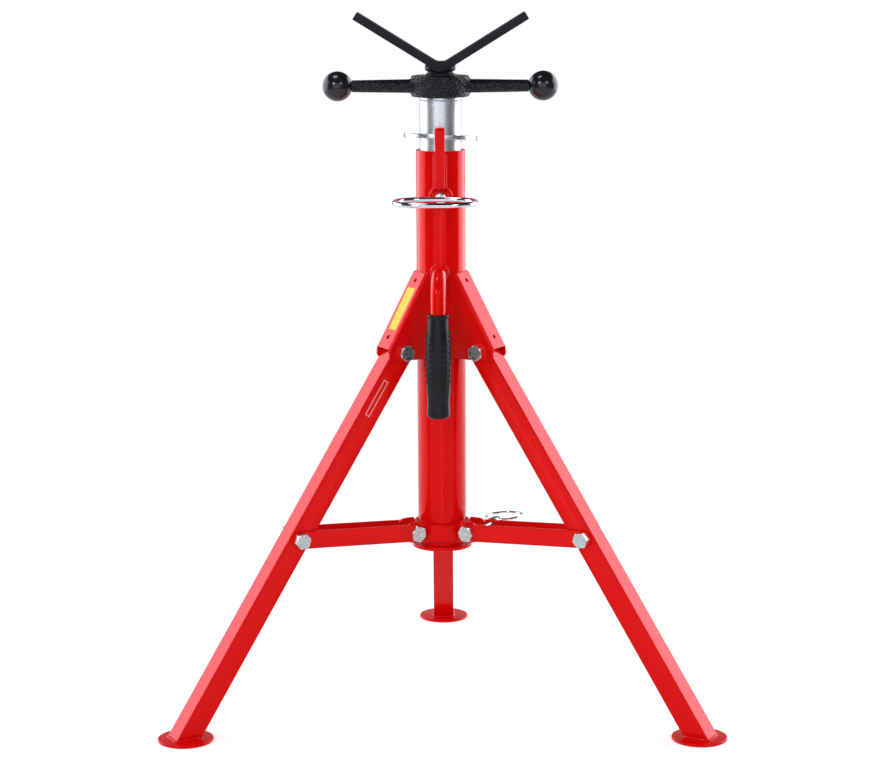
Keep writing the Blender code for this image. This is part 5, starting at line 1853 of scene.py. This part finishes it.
@dataclass
class TurnHandle:
    """The cast T-handle nut with its two balls."""

    finishes: Finishes
    low: float = 0.7187
    high: float = 0.7429
    radius: float = 0.0338
    root: float = 0.0158
    tip: float = 0.0136
    spigot: float = 0.0045
    spigot_length: float = 0.014
    ball: float = 0.01725
    spacing: float = 0.11875
    mouth: float = 0.00725
    bore: float = 0.0153
    voxel: float = 0.0011
    edge: float = 0.0018
    arm_root: float = 0.03
    corners: int = 8
    chamfer: float = 0.0003

    def section(self, size: float, x: float) -> list:
        """Makes the eight corners of an arm's section.

        Args:
            size: its width.
            x: where it is along the arm.

        Returns:
            The corners.
        """
        middle = (self.low + self.high) / 2
        corner = size / 2
        short = corner * 0.45
        pairs = [(corner, short), (short, corner), (-short, corner), (-corner, short)]
        pairs += [(-corner, -short), (-short, -corner), (short, -corner), (corner, -short)]
        return [(x, y, middle + z) for y, z in pairs]

    def hub(self, arm_end: float) -> Object:
        """Casts the hub and its arms as one body with soft edges.

        Args:
            arm_end: how far the arms reach.

        Returns:
            The casting.
        """
        profile = block(0, self.radius, self.low, self.high)
        hub = lathe("cast_hub", soften(profile, self.edge, 5, closed=False), FINE)
        build = bmesh.new()
        root = self.arm_root
        stations = ((-arm_end, self.tip), (-root, self.root), (root, self.root), (arm_end, self.tip))
        sections = [[build.verts.new(point) for point in self.section(size, x)] for x, size in stations]
        build.faces.new(sections[0])
        build.faces.new(sections[-1][::-1])
        for first, second in zip(sections, sections[1:]):
            for index in range(self.corners):
                after = (index + 1) % self.corners
                build.faces.new((first[index], second[index], second[after], first[after]))
        combine(hub, to_object("arms", build), "UNION")
        modifier = hub.modifiers.new("cast", "REMESH")
        modifier.mode = "VOXEL"
        modifier.voxel_size = self.voxel
        soft = hub.modifiers.new("soft", "SMOOTH")
        soft.factor = 0.5
        soft.iterations = 4
        bake(hub)
        combine(hub, prism("bore", circle(self.bore, ROUND), self.low - PAST_WALL, self.high + PAST_WALL))
        return smooth(hub, 42.0)

    def build(self) -> None:
        """Makes and dresses the hub, its spigots and the balls."""
        depth = math.sqrt(self.ball**2 - self.mouth**2)
        arm_end = self.spacing - depth - SEAT_GAP
        middle = (self.low + self.high) / 2
        parts = [self.hub(arm_end)]
        for side in (-1, 1):
            ends = sorted((side * (arm_end - 0.002), side * (arm_end + self.spigot_length)))
            rod = prism("spigot", circle(self.spigot, 32), ends[0], ends[1], Axis.X)
            parts.append(smooth(moved(rod, move_to(0, 0, middle))))
        hub = moved(merged("cast_handle", parts), MAST)
        dress(hub, "t_handle", self.finishes.hammered, Slot.HAMMERED, "t_handle_hub")
        hole = self.spigot + HOLE_GAP
        floor = depth - self.spigot_length - 2 * SEAT_GAP
        start = math.degrees(math.asin(depth / self.ball))
        profile = [(0, floor), (hole, floor), (hole, depth - self.chamfer), (hole + self.chamfer, depth)]
        profile += arc((0, 0), self.ball, start, -90, 40)[:-1] + [(0, -self.ball)]
        for name, side in (("left", -1), ("right", 1)):
            turn = axis_turn(-90 * side, "Y")
            ball = moved(lathe(f"ball_{name}", profile, SMALL), turn)
            moved(ball, move_to(side * self.spacing, MAST_Y, middle))
            dress(smooth(ball), "t_handle", self.finishes.gloss, Slot.GLOSS, f"handle_ball_{name}")


@dataclass
class LiftScrew:
    """The threaded bar that carries the V head."""

    trees: Trees
    finishes: Finishes
    radius: float = 0.015
    top: float = 0.7429
    length: float = 0.172
    bore: float = 0.0093
    bore_depth: float = 0.050
    lead: float = 0.006
    depth: float = 0.0022
    core: float = 0.0115

    def build(self) -> None:
        """Turns the bar, cuts its thread and dresses it."""
        low = self.top - self.length
        rows = 400
        profile = [(0, low), (self.radius - 0.003, low)]
        for row in range(rows + 1):
            height = low + self.length * row / rows
            profile.append((min(self.radius, self.radius - 0.002 + (height - low)), height))
        floor = self.top - self.bore_depth
        profile += [(self.bore, self.top), (self.bore, floor), (0, floor)]
        screw = lathe("threaded_bar", profile, 56)
        zinc = self.finishes.plate_zinc
        values = {"Lead": self.lead, "Depth": self.depth, "Least_Radius": self.core, "Low": low + 0.0005}
        run_tree(screw, self.trees.thread, High=self.top - 0.0015, Material=zinc, **values)
        dress(smooth(moved(screw, MAST), 55.0), "screw", zinc, Slot.ZINC, "lift_screw")


@dataclass
class VHead:
    """The bent bar that holds the pipe, welded on its socket."""

    shop: WeldShop
    seat: float = 0.7594
    thickness: float = 0.0094
    width: float = 0.030
    angle: float = 31.6
    half_span: float = 0.0964
    sag: float = 0.0007
    aside: float = 0.0009
    bend: float = 0.0138
    base: float = 0.7432
    base_height: float = 0.004
    chamfer: float = 0.0006
    fillet: float = 0.0022
    edge: float = 0.0010
    bead_half: float = 0.0045
    stem: float = 0.009
    stem_length: float = 0.045
    base_radius: float = 0.01675
    neck: float = 0.0144
    bead: float = 0.0180
    bead_height: float = 0.7513
    weld: dict = field(default_factory=lambda: {"Radius": 0.0023, "Ripple": 0.0034, "Height": 0.00035})

    def outline(self, grow: float) -> list:
        """Makes the front view of the bar, fatter all round by this much.

        Args:
            grow: how much fatter.

        Returns:
            The (x, height) pairs.
        """
        turn = math.radians(self.angle)
        centre = (0.0, self.seat + self.bend)
        along = Vector((math.cos(turn), math.sin(turn)))
        across = Vector((math.sin(turn), -math.cos(turn)))
        tangent = Vector(centre) + across * self.bend
        tip = tangent + along * ((self.half_span - tangent.x) / along.x)
        top = tip - across * grow + along * grow
        low = tip + across * (self.thickness + grow) + along * grow
        points = [tuple(top), tuple(low)]
        points += arc(centre, self.bend + self.thickness + grow, -90 + self.angle, -90 - self.angle, 28)
        points += [(-low.x, low.y), (-top.x, top.y)]
        return points + arc(centre, self.bend - grow, -90 - self.angle, -90 + self.angle, 20)

    def build(self) -> None:
        """Makes and dresses the bar, the socket and the weld between them."""
        satin = self.shop.finishes.satin
        bar = prism("v_bar", self.outline(0.0), -self.width / 2, self.width / 2, Axis.Y)
        even(round_off(bar, self.edge, 3))
        moved(bar, MAST @ move_to(self.aside, 0, -self.sag))
        dress(bar, "v_head", satin, Slot.SATIN, "v_cradle")
        waist = self.base + self.base_height
        foot = self.base - self.stem_length
        profile = [(0, foot), (self.stem - self.edge, foot), (self.stem, foot + self.edge)]
        profile.append((self.stem, self.base))
        profile.append((self.base_radius - self.chamfer, self.base))
        profile.append((self.base_radius, self.base + self.chamfer))
        profile.append((self.base_radius, waist - 0.002))
        profile += arc((self.neck + self.fillet, waist + 0.0002), self.fillet, -90, -180, 5)
        profile += arc((self.neck, self.bead_height), self.bead - self.neck, -60, 60, 14)
        above = self.seat + self.thickness
        profile += [(self.neck, self.bead_height + self.bead_half), (self.neck, above), (0, above)]
        socket = lathe("v_socket_body", profile, ROUND)
        bed = prism("bar", self.outline(SEAT_GAP), -self.width, self.width, Axis.Y)
        combine(socket, moved(bed, move_to(0, 0, -self.sag)))
        with edited(socket) as build:
            upper = [vert for vert in build.verts if vert.co.z > self.seat]
            bmesh.ops.delete(build, geom=upper, context="VERTS")
        dress(smooth(moved(socket, MAST)), "v_head", satin, Slot.SATIN, "v_socket")
        loop = []
        centre = self.seat + self.bend
        for x, y in circle(self.neck + self.chamfer, 64):
            turn = math.radians(self.angle)
            under = self.bend + self.thickness
            if abs(x) < under * math.sin(turn):
                height = centre - math.sqrt(under**2 - x**2)
            else:
                height = centre - under / math.cos(turn) + abs(x) * math.tan(turn)
            loop.append((x, MAST_Y + y, height - self.sag - self.chamfer))
        line = wire("v_socket_weld", loop, True)
        run_tree(line, self.shop.trees.weld, Seed=2.0, Material=satin, **self.weld)
        dress(line, "v_head", satin, Slot.SATIN)


@dataclass
class LockPlate:
    """The zinc plate that grips the mast, tilted in the lock bar's slot."""

    finishes: Finishes
    radius: float = 0.0425
    thickness: float = 0.005
    play: float = 0.0009
    pivot: float = 0.042
    height: float = 0.6755
    tilt: float = 5.25
    turn: float = -31.0

    def build(self) -> None:
        """Makes and dresses the plate."""
        half = self.thickness / 2
        hole = INNER_RADIUS + self.play
        wall = block(hole, self.radius, -half, half)
        plate = lathe("grip_plate", soften(wall, 0.0008, 4), FINEST, closed=True)
        turn = math.radians(self.turn)
        lean = Matrix.Rotation(-math.radians(self.tilt), 4, Vector((math.cos(turn), math.sin(turn), 0)))
        pivot = move_to(0, MAST_Y - self.pivot, self.height)
        moved(plate, pivot @ lean @ move_to(0, self.pivot, 0))
        dress(smooth(plate), "lock_plate_body", self.finishes.plate_zinc, Slot.ZINC, "lock_plate")


@dataclass
class Clamp:
    """The clamp screw with its oval ring."""

    trees: Trees
    finishes: Finishes
    radius: float = 0.006
    height: float = 0.6054
    reach: float = 0.0537
    lead: float = 0.00175
    ring_wire: float = 0.003
    width: float = 0.0972
    depth: float = 0.071
    offset: float = -0.006
    power: float = 0.79
    thread_depth: float = 0.0009
    core: float = 0.0050
    dog: Pair = (0.002, 0.0014)
    dog_height: float = 0.0012
    shoulder: float = 0.0018
    rim: float = 0.001
    rim_height: float = 0.0012
    thread_start: float = 0.002
    thread_end: float = 0.003

    def screw(self) -> Object:
        """Turns the screw, its dog point towards the mast, and cuts its thread.

        Returns:
            The screw, along +Z.
        """
        start = INNER_RADIUS + SEAT_GAP
        inner, outer = self.dog
        profile = [(0, start), (self.radius - inner, start)]
        profile.append((self.radius - outer, start + self.dog_height))
        rows = 170
        length = self.reach - self.rim_height - start - self.shoulder
        for row in range(rows + 1):
            profile.append((self.radius, start + self.shoulder + length * row / rows))
        profile += [(self.radius - self.rim, self.reach), (0, self.reach)]
        bar = lathe("clamp_screw_body", profile, 32)
        values = {"Lead": self.lead, "Depth": self.thread_depth, "Least_Radius": self.core}
        values.update(Low=start + self.thread_start, High=self.reach - self.thread_end)
        run_tree(bar, self.trees.thread, Material=self.finishes.bolt, **values)
        return smooth(bar, 60.0)

    def build(self) -> None:
        """Makes and dresses the screw and the ring."""
        at = move_to(0, MAST_Y, self.height)
        screw = moved(self.screw(), at @ axis_turn(90, "X"))
        dress(screw, "clamp", self.finishes.bolt, Slot.ZINC, "clamp_screw")
        half_width = self.width / 2 - self.ring_wire
        half_depth = self.depth / 2 - self.ring_wire
        middle = -(self.reach + SEAT_GAP + self.ring_wire + half_depth)
        points = []
        for across, along in circle(1.0, FINEST):
            x = math.copysign(abs(across) ** self.power, across) * half_width
            y = math.copysign(abs(along) ** self.power, along) * half_depth
            points.append((self.offset + x, middle + y, 0))
        ring = wire("clamp_loop", points, True)
        run_tree(ring, self.trees.rod, Radius=self.ring_wire, Sides=28, Material=self.finishes.chrome)
        dress(moved(ring, at), "clamp", self.finishes.chrome, Slot.CHROME, "clamp_ring")


@dataclass
class Labels:
    """The two plain stickers: yellow on the left bracket, a small pale frame on the left leg."""

    finishes: Finishes
    brackets: LegBrackets
    film: float = 0.00018
    yellow: tuple = ((0.0203, -0.0088), (0.0742, -0.0070), (0.0738, 0.0088), (0.0197, 0.0084))
    leg_face: float = 0.00035
    leg_span: Pair = (0.0395, 0.0855)
    leg_rows: Pair = (-0.0058, 0.0005)
    border: float = 0.0008
    glue: float = 0.00003

    def sticker(self, name: str, outline: list, matrix: Matrix) -> Object:
        """Makes a thin sticker from its outline, lying on a frame's XY plane."""
        return moved(prism(name, soften(outline, 0.0008, 4), self.glue, self.film), matrix)

    def build(self) -> None:
        """Makes and dresses both stickers."""
        down, _ = self.brackets.slope()
        tilt = math.atan2(-down.y, down.x)
        at = plane(AZIMUTHS["left"]) @ move_to(self.brackets.strip_top, 0, self.brackets.top)
        yellow = self.sticker("bracket_label", list(self.yellow), at @ Matrix.Rotation(tilt, 4, "Y"))
        dress(yellow, "frame", self.finishes.yellow, Slot.RED)

        lean = axis_turn(90 - LEG_ANGLE, "Y")
        face = LEG_SIDE / 2 + self.leg_face
        side = move_to(LEG_PIVOT[0], face, LEG_PIVOT[1]) @ lean
        side = side @ axis_turn(-90, "X")
        low, high = self.leg_span
        near, far = self.leg_rows
        frame_line = prism("leg_label", block(low, high, near, far), self.glue, self.film)
        inside = self.border
        window = block(low + inside, high - inside, near + inside, far - inside)
        combine(frame_line, prism("window", window, -0.001, 0.001))
        moved(frame_line, plane(AZIMUTHS["left"]) @ side)
        dress(frame_line, "leg_left_body", self.finishes.pale, Slot.RED)


@dataclass(frozen=True)
class Softbox:
    """An area light that faces the mast from an azimuth, in degrees round +Z from +X."""

    name: str
    azimuth: float
    distance: float
    width: float
    tall: float
    height: float
    radiance: float
    colour: Triple = (0.93, 0.97, 1.09)
    target: float = 0.42

    def hang(self) -> None:
        """Puts the light in its place."""
        data = bpy.data.lights.new(self.name, "AREA")
        data.shape = "RECTANGLE"
        data.color = self.colour
        data.size, data.size_y = self.width, self.tall
        data.energy = self.radiance * math.pi * self.width * self.tall
        light = placed(self.name, data)
        turn = math.radians(self.azimuth)
        x, y = self.distance * math.cos(turn), MAST_Y + self.distance * math.sin(turn)
        light.location = (x, y, self.height)
        toward = Vector((0, MAST_Y, self.target)) - light.location
        light.rotation_euler = toward.to_track_quat("-Z", "Y").to_euler()


@dataclass
class Studio:
    """Camera, light, floor and background."""

    focal_pixels: float = 2420.19
    image_width: float = 887.0
    distance: float = 2.8103
    height: float = 0.90262
    pitch: float = 10.462
    yaw: float = 0.257
    roll: float = -0.25
    shift: float = 0.0022
    sensor: float = 36.0
    near: float = 0.05
    far: float = 60.0
    front_room: float = 0.10
    back_room: float = 0.30
    front_fade: Pair = (-0.10, 0.30)
    ceiling: float = 0.10
    ceiling_fade: Pair = (0.25, 0.65)
    soft_light: float = 0.40
    floor_colour: tuple[float, float, float, float] = (0.82, 0.82, 0.82, 1.0)
    floor_level: float = -0.0002
    floor_radius: float = 2.5
    floor_lift: float = 0.35
    floor_fade: Pair = (0.50, 1.10)
    softboxes: tuple[Softbox, ...] = (
        Softbox("left_softbox", azimuth=157.0, distance=2.6, width=3.6, tall=2.4, height=1.0, radiance=2.3),
        Softbox("right_softbox", azimuth=30.5, distance=2.6, width=3.1, tall=2.4, height=1.0, radiance=3.0),
        Softbox("front_panel", azimuth=263.0, distance=3.6, width=4.2, tall=2.3, height=1.05, radiance=1.06),
        Softbox("left_key", azimuth=240.0, distance=3.2, width=0.8, tall=0.6, height=2.2, radiance=14.0),
        Softbox("right_key", azimuth=300.0, distance=3.2, width=0.8, tall=0.6, height=2.2, radiance=9.0),
        Softbox("top_light", azimuth=200.0, distance=0.42, width=0.5, tall=0.5, height=2.0, radiance=6.0),
    )

    def camera(self) -> None:
        """Sets up the camera at the photograph's viewing angle."""
        data = bpy.data.cameras.new("camera")
        data.sensor_width = self.sensor
        data.lens = self.focal_pixels / self.image_width * self.sensor
        data.shift_x = self.shift
        data.clip_start = self.near
        data.clip_end = self.far
        camera = placed("camera", data)
        turn = math.radians(self.yaw)
        spot = Vector((self.distance * math.sin(turn), MAST_Y - self.distance * math.cos(turn), self.height))
        aim = axis_turn(self.yaw) @ axis_turn(90 - self.pitch, "X") @ axis_turn(self.roll)
        camera.matrix_world = Matrix.Translation(spot) @ aim
        bpy.context.scene.camera = camera

    def world(self) -> None:
        """Lights the room: white for the camera, and a room with a dark front and ceiling for reflections."""
        world = bpy.data.worlds.new("studio")
        bpy.context.scene.world = world
        world.use_nodes = True
        graph = Graph(world.node_tree)
        graph.nodes.clear()
        output = graph.add("ShaderNodeOutputWorld")
        path = graph.add("ShaderNodeLightPath").outputs
        place = graph.add("ShaderNodeTexCoord").outputs["Generated"]
        split = graph.add("ShaderNodeSeparateXYZ", {0: place}).outputs
        depth = graph.spread(split[1], self.front_fade, (self.front_room, self.back_room), "SMOOTHSTEP")
        above = graph.spread(split[2], self.ceiling_fade, (1.0, self.ceiling), "SMOOTHSTEP")
        room, soft, white = [
            graph.add("ShaderNodeBackground", {"Color": WHITE, "Strength": strength}).outputs[0]
            for strength in (graph.math("MULTIPLY", depth, above), self.soft_light, 1.0)
        ]
        mirrored = graph.math("MAXIMUM", path["Is Glossy Ray"], path["Is Transmission Ray"])
        lit = graph.layer(mirrored, soft, room)
        graph.feed(output.inputs[0], graph.layer(path["Is Camera Ray"], lit, white))

    def floor(self) -> None:
        """Lays the round pale floor, which fades into the white background."""
        build = bmesh.new()
        rim = [build.verts.new((x, y, self.floor_level)) for x, y in circle(self.floor_radius, ROUND)]
        build.faces.new(rim)
        floor = to_object("floor", build)
        shader = Shader("pale_floor")
        seen = shader.add("ShaderNodeLightPath").outputs["Is Camera Ray"]
        shader.set(Base_Color=self.floor_colour, Roughness=0.7, Specular_IOR_Level=0.1)
        shader.set(Emission_Color=WHITE, Emission_Strength=shader.math("MULTIPLY", seen, self.floor_lift))
        reach = shader.add("ShaderNodeVectorMath", {0: shader.place}, operation="LENGTH").outputs["Value"]
        far = shader.spread(reach, self.floor_fade, shape="SMOOTHSTEP")
        shine = shader.add("ShaderNodeEmission").outputs[0]
        faded = shader.layer(shader.math("MULTIPLY", far, seen), shader.surface.outputs[0], shine)
        shader.feed(shader.nodes["Material Output"].inputs[0], faded)
        floor.data.materials.append(shader.material)

    def build(self) -> None:
        """Sets up the whole studio."""
        bpy.context.scene.view_settings.view_transform = "Standard"
        self.camera()
        self.world()
        self.floor()
        for softbox in self.softboxes:
            softbox.hang()


def main() -> None:
    """Builds the studio and the stand, piece by piece."""
    logging.basicConfig(level=logging.INFO, format="%(name)s: %(message)s")
    Studio().build()
    trees = Trees()
    finishes = Finishes()
    shop = WeldShop(trees, finishes)
    braces = Braces(finishes)
    brackets = LegBrackets(shop)
    assemblies = [
        MainTube(shop),
        brackets,
        CarryHandle(shop),
        Collar(shop),
        braces,
        Legs(shop),
        Fasteners(trees, finishes),
        LockPin(trees, finishes, braces),
        Mast(finishes),
        TurnHandle(finishes),
        LiftScrew(trees, finishes),
        VHead(shop),
        LockPlate(finishes),
        Clamp(trees, finishes),
        Labels(finishes, brackets),
    ]
    for assembly in assemblies:
        log.info("building %s", type(assembly).__name__)
        assembly.build()


if __name__ == "__main__":
    main()
